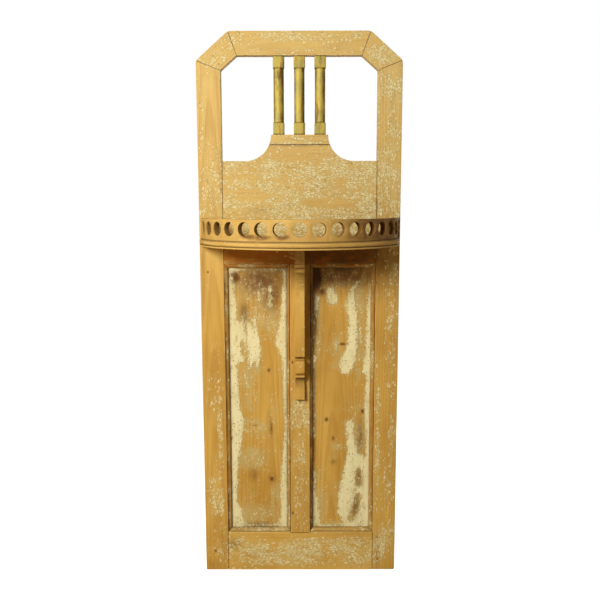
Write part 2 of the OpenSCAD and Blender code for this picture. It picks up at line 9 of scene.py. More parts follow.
import bmesh
import bpy
import numpy as np
from bpy.props import FloatProperty, FloatVectorProperty, PointerProperty
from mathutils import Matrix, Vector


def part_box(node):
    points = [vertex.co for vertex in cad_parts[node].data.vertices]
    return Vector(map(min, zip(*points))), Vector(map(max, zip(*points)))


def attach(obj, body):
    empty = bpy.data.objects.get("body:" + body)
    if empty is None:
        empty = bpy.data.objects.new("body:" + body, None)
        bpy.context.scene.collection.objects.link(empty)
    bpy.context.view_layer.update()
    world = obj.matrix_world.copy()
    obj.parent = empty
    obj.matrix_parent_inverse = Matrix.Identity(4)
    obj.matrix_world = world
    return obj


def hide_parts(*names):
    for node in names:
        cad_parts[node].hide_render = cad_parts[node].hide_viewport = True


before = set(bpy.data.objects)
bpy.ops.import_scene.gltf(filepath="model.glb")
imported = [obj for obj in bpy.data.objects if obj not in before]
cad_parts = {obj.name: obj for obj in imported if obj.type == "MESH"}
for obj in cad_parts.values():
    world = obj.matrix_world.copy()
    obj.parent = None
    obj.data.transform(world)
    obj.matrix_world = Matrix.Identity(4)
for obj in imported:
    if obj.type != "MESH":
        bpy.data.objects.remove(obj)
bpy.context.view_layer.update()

bl_info = {
    "name": "Old pine hall panel",
    "version": (1, 0, 0),
    "blender": (4, 5, 0),
    "location": "View3D > Sidebar > Hall Panel",
    "description": "Builds the worn surfaces and finishes of a stripped pine hall panel",
    "category": "Object",
}

ROOT = "root"
MM = 0.001


# ---- Places read from the frame ----

def low(node):
    """Lowest corner of a CAD node."""
    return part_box(node)[0]


def high(node):
    """Highest corner of a CAD node."""
    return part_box(node)[1]


FRONT_Y = low("muntin")[1]
BACK_Y = high("muntin")[1]
HALF_W = high("right_stile")[0]
INNER_X = low("right_stile")[0]
FRAME_TOP = high("top_rail")[2]
TOP_RAIL_Z = low("top_rail")[2]
SIDE_CORNER_Z = high("right_stile")[2]
TOP_CORNER_X = high("top_rail")[0]
INNER_CORNER_X = low("right_corner_rail")[0]
INNER_CORNER_Z = low("right_corner_rail")[2]
SHELF_Z = high("middle_rail")[2]
MIDDLE_RAIL_Z = low("middle_rail")[2]
BOTTOM_RAIL_Z = high("bottom_rail")[2]
PANEL_Y = low("left_panel")[1]
PANEL_BACK_Y = high("left_panel")[1]
SILL_TOP_Z = high("spindle_sill")[2]
SILL_Z = low("spindle_sill")[2]
MUNTIN_HALF = high("muntin")[0]
MUNTIN_TENON = 40 * MM
MUNTIN_FOOT_Z = low("muntin")[2] + MUNTIN_TENON
SHELF_R = (HALF_W ** 2 + (FRONT_Y - low("shelf_board")[1]) ** 2) / (2 * (FRONT_Y - low("shelf_board")[1]))
SHELF_CENTRE_Y = low("shelf_board")[1] + SHELF_R
WORN_CORNER_R = 25 * MM
GALLERY_INSET = min(low("gallery_left")[1], low("gallery_right")[1]) - low("shelf_board")[1]
SHAFT_R = 16.5 * MM
SPINDLE_BLOCK_H = 37 * MM
BEAD_W = high("left_bottom_moulding")[2] - BOTTOM_RAIL_Z
MUNTIN_BEAD_W = high("right_muntin_moulding")[0] - MUNTIN_HALF
BEAD_H = PANEL_Y - low("left_bottom_moulding")[1]
BEAD_ROUND = 8 * MM
QUIRK_W, QUIRK_DEEP = 1.5 * MM, 2.5 * MM
CURVE_R = 82 * MM
SHOULDER_Z = SILL_TOP_Z - CURVE_R
SILL_HALF = 91 * MM
CORNER_RAIL_L = 135 * MM
BACK_GAP = 0.4 * MM
UPRIGHT = (0.0, 0.0, 0.0)
SIDEWAYS = (0.0, math.pi / 2, 0.0)
FLOOR_Z = -0.30
CAMERA_AT = (1.2 * MM, FRONT_Y - 2.22, 1.247)
CAMERA_DOWN, CAMERA_TILT = math.radians(7.785), math.radians(0.117)
CAMERA_LENS = 40.98
AIM = (0, 0, 0.9)
# Lights: name, place, width, height, power in watts, tint
LIGHTS = (
    ("window", (-1.55, -2.6, 2.2), 0.95, 0.95, 101, (1.0, 0.99, 0.97)),
    ("low_window", (-2.3, -1.6, 1.0), 0.6, 0.6, 13, (1.0, 0.80, 0.50)),
    ("room", (1.6, -2.8, 1.6), 1.6, 1.6, 7, (1.0, 0.86, 0.62)),
    ("behind", (0.5, 2.6, 1.3), 2.4, 1.8, 42, (1.0, 0.97, 0.92)),
    ("side", (3.2, 0.3, 1.2), 1.6, 1.6, 16, (1.0, 0.95, 0.88)),
)


# ---- Numbers with a pattern ----

def lattice_noise(x, y, cell, seed):
    """Value noise: random values on a square lattice of the given cell, blended with the curve 3t^2 -
    2t^3."""
    table = np.random.default_rng(seed).uniform(-1, 1, (64, 64))
    u, v = np.asarray(x) / cell, np.asarray(y) / cell
    iu, iv = np.floor(u).astype(int), np.floor(v).astype(int)
    fu, fv = u - iu, v - iv
    fu, fv = fu * fu * (3 - 2 * fu), fv * fv * (3 - 2 * fv)
    a, b = table[iu % 64, iv % 64], table[(iu + 1) % 64, iv % 64]
    c, d = table[iu % 64, (iv + 1) % 64], table[(iu + 1) % 64, (iv + 1) % 64]
    return (a * (1 - fu) + b * fu) * (1 - fv) + (c * (1 - fu) + d * fu) * fv


def fractal(x, y, cell, seed, octaves=3):
    """Sum of value noises, each with half the cell and half the strength of the one before."""
    return sum(lattice_noise(x, y, cell / 2 ** k, seed + k) / 2 ** k for k in range(octaves))


def spot(x, z, cx, cz, rx, rz):
    """A soft round spot: exp of minus the squared distance, with its own radius each way."""
    return np.exp(-(((x - cx) / rx) ** 2 + ((z - cz) / rz) ** 2))


def stroke_depth(x, z, stroke):
    """How deep a point lies inside a brush stroke: a path of (x, z, radius) points whose radius varies
    along it."""
    depth = np.full(np.shape(x), -1.0)
    for (ax, az, ar), (bx, bz, br) in zip(stroke[:-1], stroke[1:]):
        dx, dz = bx - ax, bz - az
        t = np.clip(((x - ax) * dx + (z - az) * dz) / (dx * dx + dz * dz), 0, 1)
        depth = np.maximum(depth, ar + (br - ar) * t - np.hypot(x - ax - t * dx, z - az - t * dz))
    return depth


def deepest(x, z, strokes):
    """The greatest depth over several strokes."""
    return np.max([stroke_depth(x, z, s) for s in strokes], axis=0)


# ---- Meshes ----

def quads_between(rows, cols, closed):
    """Corner numbers of the quads of a grid of rows by cols points, whose columns may close on themselves."""
    r, c = np.meshgrid(np.arange(rows - 1), np.arange(cols if closed else cols - 1), indexing="ij")
    n = (c + 1) % cols
    return np.stack([r * cols + c, r * cols + n, (r + 1) * cols + n, (r + 1) * cols + c], -1).reshape(-1, 4)


def fill_mesh(name, points, quads, tris, values=None):
    """A mesh object from point, quad and triangle arrays, with one float attribute per entry of values."""
    mesh = bpy.data.meshes.new(name)
    points = np.asarray(points, np.float32).reshape(-1, 3)
    quads = np.asarray(quads, np.int32).reshape(-1, 4)
    tris = np.asarray(tris, np.int32).reshape(-1, 3)
    totals = np.r_[np.full(len(quads), 4), np.full(len(tris), 3)].astype(np.int32)
    mesh.vertices.add(len(points))
    mesh.vertices.foreach_set("co", points.ravel())
    mesh.loops.add(int(totals.sum()))
    mesh.loops.foreach_set("vertex_index", np.r_[quads.ravel(), tris.ravel()])
    mesh.polygons.add(len(totals))
    mesh.polygons.foreach_set("loop_start", np.r_[0, np.cumsum(totals)[:-1]].astype(np.int32))
    mesh.update(calc_edges=True)
    mesh.validate()
    for key, value in (values or {}).items():
        attribute = mesh.attributes.new(key, "FLOAT", "POINT")
        attribute.data.foreach_set("value", np.asarray(value, np.float32).ravel())
    shape = bmesh.new()
    shape.from_mesh(mesh)
    bmesh.ops.recalc_face_normals(shape, faces=shape.faces)
    shape.to_mesh(mesh)
    shape.free()
    mesh.polygons.foreach_set("use_smooth", np.ones(len(mesh.polygons), bool))
    piece = bpy.data.objects.new(name, mesh)
    bpy.context.scene.collection.objects.link(piece)
    return piece


def closed_loft(name, sections, values=None, marks=None):
    """A closed skin over sections (stations, loop, 3): quads between them and a fan over each end.
    values holds one number per point of the sections; marks works out more from all points (n, 3)."""
    stations, loop = sections.shape[:2]
    points = sections.reshape(-1, 3)
    ends = np.stack([sections[0].mean(0), sections[-1].mean(0)])
    quads = quads_between(stations, loop, closed=True)
    first = np.arange(loop)
    after = (first + 1) % loop
    last = (stations - 1) * loop
    near = np.stack([after, first, np.full(loop, len(points))], -1)
    far = np.stack([last + first, last + after, np.full(loop, len(points) + 1)], -1)
    every = np.r_[points, ends]
    full = {key: np.r_[value.ravel(), value[0].mean(), value[-1].mean()] for key,
            value in (values or {}).items()}
    if marks:
        full.update(marks(every))
    return fill_mesh(name, every, quads, np.r_[near, far], full)


def rounded_section(width, front_step, back_step, steps=4, guard=1.5 * MM):
    """The loop of a board's section as rows of (width share, width offset, depth share, depth offset,
    corner). Shares run 0 to 1 from the low edge and from the back; offsets are counted in the corner's
    radius. Corners are 0 front low, 1 front high, 2 back high, 3 back low; -1 and -3 are the front's and
    the back's flat, -2 an edge. A flat has a point close to each corner, so a change of colour at the arris
    stays narrow."""
    turn = np.linspace(0, math.pi / 2, steps + 1)
    near = min(0.25, guard / width)

    def flat(step):
        return np.r_[near, np.linspace(near, 1 - near, max(3, int(width / step)))[1:-1], 1 - near]

    rows = [(0, 1 - math.cos(a), 1, -(1 - math.sin(a)), 0) for a in turn]
    rows += [(f, 0, 1, 0, -1) for f in flat(front_step)]
    rows += [(1, -(1 - math.cos(a)), 1, -(1 - math.sin(a)), 1) for a in turn[::-1]]
    rows += [(1, 0, d, 0, -2) for d in (0.85, 0.5, 0.15)]
    rows += [(1, -(1 - math.cos(a)), 0, 1 - math.sin(a), 2) for a in turn]
    rows += [(f, 0, 0, 0, -3) for f in flat(back_step)[::-1]]
    rows += [(0, 1 - math.cos(a), 0, 1 - math.sin(a), 3) for a in turn[::-1]]
    rows += [(0, 0, d, 0, -2) for d in (0.15, 0.5, 0.85)]
    return np.array(rows, float)


def end_stations(length, spacing, first_round, last_round, knots):
    """Distances along a board and the inset at each: a quarter round at both ends, even steps between, and
    a pair of close stations at each knot share, where an edge steps."""
    turn = np.linspace(0, math.pi / 2, 6)
    curve = (1 - np.cos(turn), 1 - np.sin(turn))
    guard = np.array([1.7 * MM, length - 1.7 * MM])
    middle = np.linspace(0, length, max(4, int(length / spacing)))[1:-1]
    middle = middle[(middle > 2.5 * MM + first_round) & (middle < length - 2.5 * MM - last_round)]
    guard += np.array([first_round, -last_round])
    steps = np.array([k * length + d for k in knots for d in (-0.1 * MM, 0.1 * MM)])
    middle = np.sort(np.r_[middle, guard, steps])
    along = np.r_[first_round * curve[0], middle, length - last_round * curve[0][::-1]]
    return along, np.r_[first_round * curve[1], np.zeros(len(middle)), last_round * curve[1][::-1]]


def board(name, low_edge, high_edge, length, depth, seed, marks=None, spacing=0.009, front_step=0.007,
          back_step=0.02, worn=(0.7, 2.2), joints=(), jointed_ends=(True, True),
          end_round=(0.5 * MM, 0.5 * MM), wave=0.25 * MM, relief=None, knots=()):
    """A worn board. low_edge and high_edge give (x, z) for shares 0 to 1 of the length; the section between
    them is a rectangle with four rounded corners whose radius wanders between the two worn sizes in mm, and
    is small and dirty along joints (corner, from share, to share) and at jointed ends. The front rises and
    falls by a slow value noise, and relief(x, z) adds its own height to it. The mesh has the attributes
    arris and grime."""
    along, inset = end_stations(length, spacing, *end_round, knots)
    share = along / length
    a, b = low_edge(share), high_edge(share)
    width = np.hypot(*(b - a).T)
    rows = rounded_section(width.max(), front_step, back_step)
    w_share, w_off, d_share, d_off, corner = rows.T
    back, front = depth
    thick = back - front
    radius = np.zeros((len(share), 5))
    grime_and_shade = np.zeros((len(share), 5))
    for k in range(4):
        wander = 0.5 + 0.5 * fractal(along, np.full_like(along, k * 7.0 + 1), 0.11, seed + k)
        radius[:, k] = (worn[0] + (worn[1] - worn[0]) * np.clip(wander, 0, 1) ** 1.6) * MM
    for k, start, end in joints:
        at = (share >= start) & (share <= end)
        radius[at, k], grime_and_shade[at, k] = 0.45 * MM, 1
    r = radius[:, corner.astype(int)]
    r[:, corner < 0] = 0
    t = w_share[None, :] + w_off[None, :] * r / width[:, None]
    for flat, p, q in ((corner == -1, 0, 1), (corner == -3, 3, 2)):
        free = width - radius[:, p] - radius[:, q]
        t[:, flat] = (radius[:, p, None] + w_share[flat] * free[:, None]) / width[:, None]
    y = back - d_share[None, :] * thick - d_off[None, :] * r
    t = 0.5 + (t - 0.5) * (1 - 2 * inset / width)[:, None]
    middle = (back + front) / 2
    y = middle + (y - middle) * (1 - 2 * np.minimum(inset, 1.5 * MM) / thick)[:, None]
    x = a[:, :1] + t * (b - a)[:, :1]
    z = a[:, 1:] + t * (b - a)[:, 1:]
    near_front = np.clip((middle - y) / (thick / 2), 0, 1)
    y = y + near_front * wave * (0.5 + 0.5 * fractal(x + 3, z + 5, 0.12, seed))
    if relief is not None:
        y = y - near_front ** 4 * relief(x, z)
    darkened = grime_and_shade[:, corner.astype(int)]
    darkened[:, corner < 0] = 0
    for end, at in zip(jointed_ends, (slice(0, 6), slice(-6, None))):
        if end:
            darkened[at] = 1
    arris = np.broadcast_to((corner >= 0) * 1.0, darkened.shape) * (1 - darkened)
    values = {"arris": np.ascontiguousarray(arris), "grime_and_shade": darkened}
    return closed_loft(name, np.stack([x, y, z], -1), values, marks)


def straight(p, q):
    """The line from p to q as a function of shares 0 to 1."""
    p, q = np.array(p, float), np.array(q, float)
    return lambda s: p + np.asarray(s)[:, None] * (q - p)


def worn_ends(p, q, first=None, last=None):
    """The line from p to q with worn corners: near an end that has an inward direction, it bends that way by
    r - sqrt(r^2 - s^2), where s runs from 0 at the arc's start to r tan(22.5 degrees) at the end."""
    reach = WORN_CORNER_R * math.tan(math.pi / 8)
    length = math.dist(p, q)

    def place_at(share):
        points = straight(p, q)(share)
        for inward, away in ((first, share * length), (last, (1 - share) * length)):
            if inward is not None:
                s = np.clip(reach - away, 0, reach)
                drop = (WORN_CORNER_R - np.sqrt(WORN_CORNER_R ** 2 - s ** 2)) / math.cos(math.pi / 8)
                points = points + np.array(inward) * drop[:, None]
        return points
    return place_at


def mitre_line(outer, inner):
    """Unit direction from a frame corner's outer point to its inner point."""
    way = np.array(inner, float) - np.array(outer, float)
    return way / np.hypot(*way)


def finish_piece(piece, material, slot, *nodes):
    """Gives a piece its material, lets it ride on the body and stand for its CAD nodes."""
    piece.data.materials.clear()
    piece.data.materials.append(material)
    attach(piece, ROOT)
    if nodes:
        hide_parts(*nodes)


def dress_node(node, material, bevel=0.0):
    """A CAD node that stays: its material, and softened edges by a weld and a bevel that follow angles."""
    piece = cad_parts[node]
    piece.data.materials.clear()
    piece.data.materials.append(material)
    if bevel:
        weld = piece.modifiers.new("weld", "WELD")
        weld.merge_threshold = 1e-5
        soft = piece.modifiers.new("soft_edges", "BEVEL")
        soft.width = bevel
        soft.segments = 2
        soft.limit_method = "ANGLE"
        soft.angle_limit = math.radians(40)


# ---- Shader building ----

class Value:
    """A shader socket in sums: each +, -, * and / adds a Math node to its tree."""

    def __init__(self, socket):
        self.socket = socket
        self.tree = socket.id_data

    def __add__(self, other):
        return calc("ADD", self, other)

    def __radd__(self, other):
        return calc("ADD", other, self)

    def __sub__(self, other):
        return calc("SUBTRACT", self, other)

    def __rsub__(self, other):
        return calc("SUBTRACT", other, self)

    def __mul__(self, other):
        return calc("MULTIPLY", self, other)

    def __truediv__(self, other):
        return calc("DIVIDE", self, other)


def tree_of(*values):
    """The node tree of the first Value among several."""
    return next(value.tree for value in values if isinstance(value, Value))


def plug(socket, value):
    """Links or sets one input socket."""
    if isinstance(value, Value):
        value.tree.links.new(value.socket, socket)
    else:
        socket.default_value = value


def add(tree, kind, settings=None, **inputs):
    """Adds a shader node. Inputs are named with _ for a space; a Value is linked, anything else is set."""
    node = tree.nodes.new("ShaderNode" + kind)
    for key, value in (settings or {}).items():
        setattr(node, key, value)
    for key, value in inputs.items():
        plug(node.inputs[key.replace("_", " ")], value)
    return node


def calc(operation, a, b=0.0, clamp=False):
    """A Math node's result."""
    node = add(tree_of(a, b), "Math", {"operation": operation, "use_clamp": clamp})
    plug(node.inputs[0], a)
    plug(node.inputs[1], b)
    return Value(node.outputs[0])


def greater(a, b):
    """The greater of two."""
    return calc("MAXIMUM", a, b)


def blend(factor, a, b, kind="MIX"):
    """A colour mix."""
    node = add(tree_of(factor, a, b), "Mix", {"data_type": "RGBA", "blend_type": kind, "clamp_factor": True})
    for number, value in ((0, factor), (6, a), (7, b)):
        plug(node.inputs[number], value)
    return Value(node.outputs[2])


def smooth(value, start, end):
    """0 below start, 1 above end, with a soft change between; start may be the larger."""
    node = add(value.tree, "MapRange", {"interpolation_type": "SMOOTHSTEP"}, Value=value)
    plug(node.inputs[1], start)
    plug(node.inputs[2], end)
    return Value(node.outputs[0])


def noise(where, scale, detail=3.0, rough=0.55):
    """A Noise Texture's value, 0 to 1."""
    return Value(add(where.tree, "TexNoise", None, Vector=where, Scale=scale, Detail=detail,
                     Roughness=rough).outputs[0])


def cells(where):
    """A Voronoi pattern: the distance to the cell's middle, and three random numbers to a cell."""
    node = add(where.tree, "TexVoronoi", {"feature": "F1"}, Vector=where, Scale=1.0)
    return Value(node.outputs["Distance"]), split(Value(node.outputs["Color"]), "Color")


def to_cell_edge(where):
    """A Voronoi pattern's distance to the nearest edge between cells."""
    node = add(where.tree, "TexVoronoi", {"feature": "DISTANCE_TO_EDGE"}, Vector=where, Scale=1.0)
    return Value(node.outputs["Distance"])


def mapped(where, **settings):
    """The place vector through a Mapping node."""
    return Value(add(where.tree, "Mapping", None, Vector=where, **settings).outputs[0])


def stretched(where, scale, shift=(0, 0, 0)):
    """The place vector shifted, then stretched."""
    return mapped(mapped(where, Location=shift), Scale=scale)


def split(value, kind="XYZ"):
    """The three parts of a vector or a colour."""
    node = add(value.tree, "Separate" + kind)
    plug(node.inputs[0], value)
    return [Value(socket) for socket in node.outputs]


def place(tree):
    """Object coordinates."""
    return Value(add(tree, "TexCoord").outputs["Object"])


def mark(tree, name):
    """A float attribute of the mesh."""
    return Value(add(tree, "Attribute", {"attribute_name": name}).outputs["Fac"])


def new_material(name):
    """An empty material with its Principled shader linked to the output."""
    material = bpy.data.materials.new(name)
    material.use_nodes = True
    tree = material.node_tree
    tree.nodes.clear()
    shader = add(tree, "BsdfPrincipled")
    tree.links.new(shader.outputs[0], add(tree, "OutputMaterial").inputs[0])
    return material, tree, shader


def finish_shader(shader, shade, rough, height, distance, gloss=None, metal=0.0):
    """The shader's colour, its roughness, a bump of a height in 0 to 1 by a distance in metres, its gloss and
    its share of metal."""
    plug(shader.inputs["Base Color"], shade)
    plug(shader.inputs["Roughness"], rough)
    plug(shader.inputs["Metallic"], metal)
    if gloss is not None:
        plug(shader.inputs["Specular IOR Level"], gloss)
    bump = add(shader.id_data, "Bump", None, Height=height, Distance=distance)
    plug(shader.inputs["Normal"], Value(bump.outputs[0]))


def grain(where, seed, period, tilt, depth, off):
    """Pine grain along the vector's Z: growth rings are the distance from a slightly leaning tree axis
    behind the board, in steps of the period, bent by a slow noise. Returns (rings, fibres), each 0 to 1."""
    slow = noise(stretched(where, (9, 9, 1.6), shift=(seed, 0, 0)), 1.0, 2.0)
    parts = split(where)
    x = parts[0] + (slow - 0.5) * 0.05 + off
    y = parts[2] * tilt + (parts[1] + depth)
    r = calc("SQRT", x * x + y * y)
    step = calc("FRACT", r / period)
    late = smooth(step, 0.25, 0.85) * smooth(step, 1.0, 0.9)
    fibre = noise(stretched(where, (420, 420, 9), shift=(0, seed, 0)), 1.0, 3.0, 0.6)
    return late, fibre


def specks(where, density, size, seed, longer):
    """Cracked remains of old paint: islands are the cells of a Voronoi pattern, parted by cracks. A cell
    holds paint where its random number is under the density, more or less of it by a second random number;
    a cell that only just holds some keeps a crumb. Longer stretches the cells along Z. Returns (paint,
    crack), each 0 to 1."""
    at = stretched(where, (1 / size, 1 / size, 1 / (size * longer)), shift=(seed, 0, 0))
    _, chances = cells(at)
    edge = to_cell_edge(at)
    fray = noise(where, 650.0, 2.0)
    patchy = noise(stretched(where, (75, 75, 20), shift=(0, seed, 0)), 1.0, 4.0, 0.65)
    limit = density * smooth(patchy, 0.34, 0.54)
    margin = limit - chances[0]
    crumb = smooth(margin, 0.3, 0.0)
    reach = edge - crumb * 0.09 + (fray - 0.5) * 0.12
    held = smooth(margin, -0.01, 0.03)
    body = chances[1] * 0.5 + 0.5
    paint = smooth(reach, 0.03, 0.12) * held * body
    return paint, smooth(edge, 0.11, 0.03) * held


def round_the_shelf(tree):
    """Places unrolled round the shelf's centre line: arc length, depth from the gallery's face, height."""
    parts = split(place(tree))
    forward = SHELF_CENTRE_Y - parts[1]
    turn = calc("ARCTAN2", parts[0], forward)
    square = parts[0] * parts[0] + forward * forward
    depth = SHELF_R - calc("SQRT", square)
    arc = turn * SHELF_R
    return Value(add(tree, "CombineXYZ", None, X=arc, Y=depth, Z=parts[2]).outputs[0])


# ---- Finishes ----

def soft_spots(at, spots, ragged, strength):
    """The strongest of a few soft round spots given as (centre, radii), with a ragged edge."""
    total = 0.0
    for centre, radii in spots:
        spot_at = stretched(at, tuple(1 / r for r in radii), shift=tuple(-c for c in centre))
        length = add(spot_at.tree, "VectorMath", {"operation": "LENGTH"})
        plug(length.inputs[0], spot_at)
        edge = Value(length.outputs["Value"]) + (ragged - 0.5) * 1.6
        total = greater(total, smooth(edge, 1.1, 0.3))
    return total * strength


def level_bands(at, bands):
    """Dark level lines of painted shade in grooves, creases and under overhangs, given as (low, high,
    strength) in height; one over 20 mm high fades downwards."""
    z = split(at)[2]
    total = 0.0
    for start, end, strength in bands:
        wide = end - start > 20 * MM
        below, above = (end - start, 1 * MM) if wide else (max(0.8 * MM, (end - start) * 0.3),) * 2
        band = smooth(z, start - below, end if wide else start) * smooth(z, end + above, end)
        total = greater(total, band * strength)
    return total


def pine(name, look, seed, turn=UPRIGHT, tone=1.0, brown=0.0, tilt=0.035, depth=0.05, off=0.0, period=0.008,
         unrolled=False, scatter=0.0, stains_and_shade=(), bands=(), rings=0.26, shade_from=None,
         varnish=0.0, hollow=0.0):
    """Stripped pine: rings and fibres in two honey colours, slow patches of ochre, a paler top that is partly
    painted light, dirt in joints with painted shade in creases, pale worn arrises, and specks of old paint
    where the mesh's old_paint says. The stain spots are soft dark spots (centre, radii), bands dark level
    lines of painted shade, the brown tone's span is the span of the arc over which the brown tone sets in as
    painted shade, varnish the share of old varnish, and hollow how much darker, as painted shade, it is
    behind the gallery's face."""
    material, tree, shader = new_material(name)
    at = round_the_shelf(tree) if unrolled else place(tree)
    along = mapped(at, Rotation=turn)
    late, fibre = grain(along, seed, period, tilt, depth, off)
    broad = noise(stretched(along, (7, 7, 2.2), shift=(seed, seed, 0)), 1.0, 3.0, 0.6)
    mottled = noise(stretched(along, (38, 38, 17), shift=(0, seed, 3)), 1.0, 4.0, 0.65)
    sideways, inwards, height = split(at)
    shade = blend(smooth(broad, 0.33, 0.66), look.ochre, look.honey)
    # Paler towards the top: partly painted light, as the top is lit more, and partly a paler dusty film.
    shade = blend(smooth(height, 0.75, 1.6) * 0.5, shade, look.pale)
    shade = blend(late * rings, shade, look.late_wood)
    shade = blend(smooth(fibre, 0.52, 0.25) * 0.32, shade, look.late_wood)
    shade = blend(smooth(mottled, 0.56, 0.78) * 0.4, shade, look.pale)
    shade = blend(smooth(mottled, 0.42, 0.22) * 0.4, shade, look.ochre)
    if brown:
        amount = smooth(mottled, 0.72, 0.32) * (brown * 0.5) + brown * 0.7
        # Brown over part of the arc only: painted shade on the gallery's side that is lit less.
        if shade_from:
            amount = amount * smooth(sideways, *shade_from)
        shade = blend(amount, shade, look.brown)
    if varnish:
        in_front = smooth(inwards, FRONT_Y + 5 * MM, FRONT_Y + 2 * MM)
        coat = smooth(mottled, 0.8, 0.35) * (in_front * varnish)
        shade = blend(coat, shade, look.varnish)
    # Painted shade behind the gallery's face and in its holes.
    if hollow:
        top = high("gallery_left")[2]
        behind = smooth(inwards, GALLERY_INSET + 1 * MM, GALLERY_INSET + 5 * MM)
        behind = behind * smooth(height, top - 1 * MM, top - 5 * MM)
        shade = blend(behind * hollow, shade, look.brown)
    if stains_and_shade:
        shade = blend(soft_spots(at, stains_and_shade, mottled, 0.85), shade, look.brown)
    # Stains, and painted shadows where the mesh's stain mark holds them.
    shade = blend(mark(tree, "stain_and_shade") * smooth(mottled, 0.2, 0.6), shade, look.brown)
    shade = blend(mark(tree, "arris") * smooth(mottled, 0.35, 0.6) * 0.4, shade, look.pale)
    old = calc("ADD", mark(tree, "old_paint"), scatter, clamp=True)
    speck, crack = specks(along, old, look.speck_size, seed=seed * 0.01, longer=2.0)
    fine, _ = specks(along, old * 0.5, look.speck_size * 0.5, seed=seed * 0.013 + 1, longer=2.0)
    left = greater(speck, fine * 0.8)
    film = noise(stretched(along, (60, 60, 30)), 1.0, 4.0, 0.7)
    haze = old * smooth(film, 0.3, 0.58)
    shade = blend(haze * 0.46, shade, look.aged_cream)
    shade = blend(crack * 0.55, shade, look.crack)
    thickness = smooth(film, 0.35, 0.65) * 0.45 + 0.45
    shade = blend(left * thickness, shade, look.cream)
    # Dark joints, and painted shade where the mesh's dirt mark and the level bands say.
    dirt_and_shade = mark(tree, "grime_and_shade") * smooth(mottled, 0.12, 0.5)
    if bands:
        dirt_and_shade = greater(dirt_and_shade, level_bands(at, bands) * smooth(mottled, 0.1, 0.45))
    shade = blend(dirt_and_shade * 0.8, shade, look.dirt_and_shade)
    if tone != 1.0:
        shade = blend(1.0, shade, (tone, tone, tone, 1.0), "MULTIPLY")
    rough = fibre * 0.35 + late * 0.2 + left * 0.5
    finish_shader(shader, shade, 0.66, rough, 0.4 * MM, gloss=0.2)
    return material


def flaking_paint(name, look, seed, knots, off):
    """Cream paint flaking off pine: the mesh's paint is the depth inside a painted patch in mm, noises fray
    its edge and break it into cracked cells where it is thin, a haze of it lies beside the patches and where
    old_paint says, and the wood shows rings, fibres and stains. The stains, the knot spots and the dirt mark
    also carry painted shadow and shade: the console's shadow on the right panel, and shade along the
    mouldings and the panels' left edges."""
    material, tree, shader = new_material(name)
    at = place(tree)
    late, fibre = grain(at, seed, 9 * MM, 0.03, 45 * MM, off)
    broad = noise(stretched(at, (9, 9, 2.5), shift=(seed, 0, 0)), 1.0, 3.0, 0.6)
    mottled = noise(stretched(at, (45, 45, 20), shift=(0, seed, 0)), 1.0, 4.0, 0.65)
    blotched = noise(stretched(at, (85, 85, 50), shift=(seed, 2, 0)), 1.0, 4.0, 0.7)
    wood = blend(smooth(broad, 0.32, 0.68), look.panel_wood, look.honey)
    wood = blend(late * 0.3, wood, look.late_wood)
    wood = blend(smooth(fibre, 0.55, 0.25) * 0.35, wood, look.late_wood)
    wood = blend(smooth(mottled, 0.6, 0.8) * 0.35, wood, look.pale)
    old = mark(tree, "old_paint")
    fray = noise(stretched(at, (170, 170, 75)), 1.0, 6.0, 0.8)
    tiny = noise(stretched(at, (800, 800, 500)), 1.0, 3.0, 0.7)
    ragged = old * 44.0 + 38.0
    field = mark(tree, "paint") + (fray - 0.53) * ragged + (tiny - 0.5) * 9.0
    sheet = smooth(field, -0.5, 0.9)
    haze = smooth(field, -13.0, -1.0) * smooth(blotched, 0.36, 0.62)
    drawn = noise(stretched(at, (90, 90, 22), shift=(seed, 1, 0)), 1.0, 5.0, 0.7)
    veil = smooth(old, 0.1, 0.6) * smooth(drawn, 0.34, 0.56)
    wood = blend(haze * 0.42, wood, look.aged_cream)
    wood = blend(veil * 0.72, wood, look.veil)
    # Stains and painted shadows from the mesh, on the wood and again over the paint.
    wood = blend(mark(tree, "stain_and_shade") * smooth(mottled, 0.15, 0.55), wood, look.brown)
    thin = smooth(field, 9.0, 1.0)
    crack = to_cell_edge(stretched(at, (250, 250, 170)))
    broken = calc("ADD", thin * 0.55, smooth(blotched, 0.46, 0.68) * 0.75, clamp=True)
    gap = smooth(crack, 0.11, 0.03) * broken
    lost = smooth(blotched, 0.6, 0.7) * smooth(tiny, 0.4, 0.55)
    whole = 1.0 - greater(gap * 0.75, lost * 0.9)
    speck, _ = specks(at, old * 0.55, look.speck_size * 0.7, seed=seed * 0.01, longer=1.3)
    cover = greater(sheet * whole, speck * 0.75)
    cream = blend(smooth(broad, 0.45, 0.75) * 0.6, look.cream, look.aged_cream)
    cream = blend(smooth(mottled, 0.5, 0.76) * 0.6, cream, look.aged_cream)
    cream = blend(smooth(fibre, 0.5, 0.28) * 0.25, cream, look.ochre)
    streaks = noise(stretched(at, (170, 170, 22), shift=(seed, 0, 0)), 1.0, 4.0, 0.7)
    cream = blend(smooth(streaks, 0.52, 0.72) * 0.55, cream, look.pale)
    shade = blend(cover, wood, cream)
    shade = blend(mark(tree, "stain_and_shade") * smooth(blotched, 0.36, 0.54), shade, look.brown)
    pits, chances = cells(stretched(at, (180, 180, 130)))
    uneven = pits + tiny * 0.26
    often = thin * 0.75 + 0.14
    pit = smooth(uneven, 0.52, 0.34) * smooth(chances[0] - often, 0.04, -0.04)
    shade = blend(pit * cover * 0.8, shade, look.brown)
    # Dark knot spots; on the right panel one of them is the painted shadow beside the console.
    shade = blend(soft_spots(at, knots, mottled, 0.9), shade, look.brown)
    # Painted shade along the mouldings and painted shadow beside the console, with dirt at the edges.
    dirt_and_shade = mark(tree, "grime_and_shade") * smooth(mottled, 0.15, 0.52)
    shade = blend(dirt_and_shade * 0.88, shade, look.dirt_and_shade)
    rough = cover * 0.7 + fibre * 0.2 + late * 0.1
    finish_shader(shader, shade, 0.6, rough, 0.6 * MM, gloss=0.25)
    return material


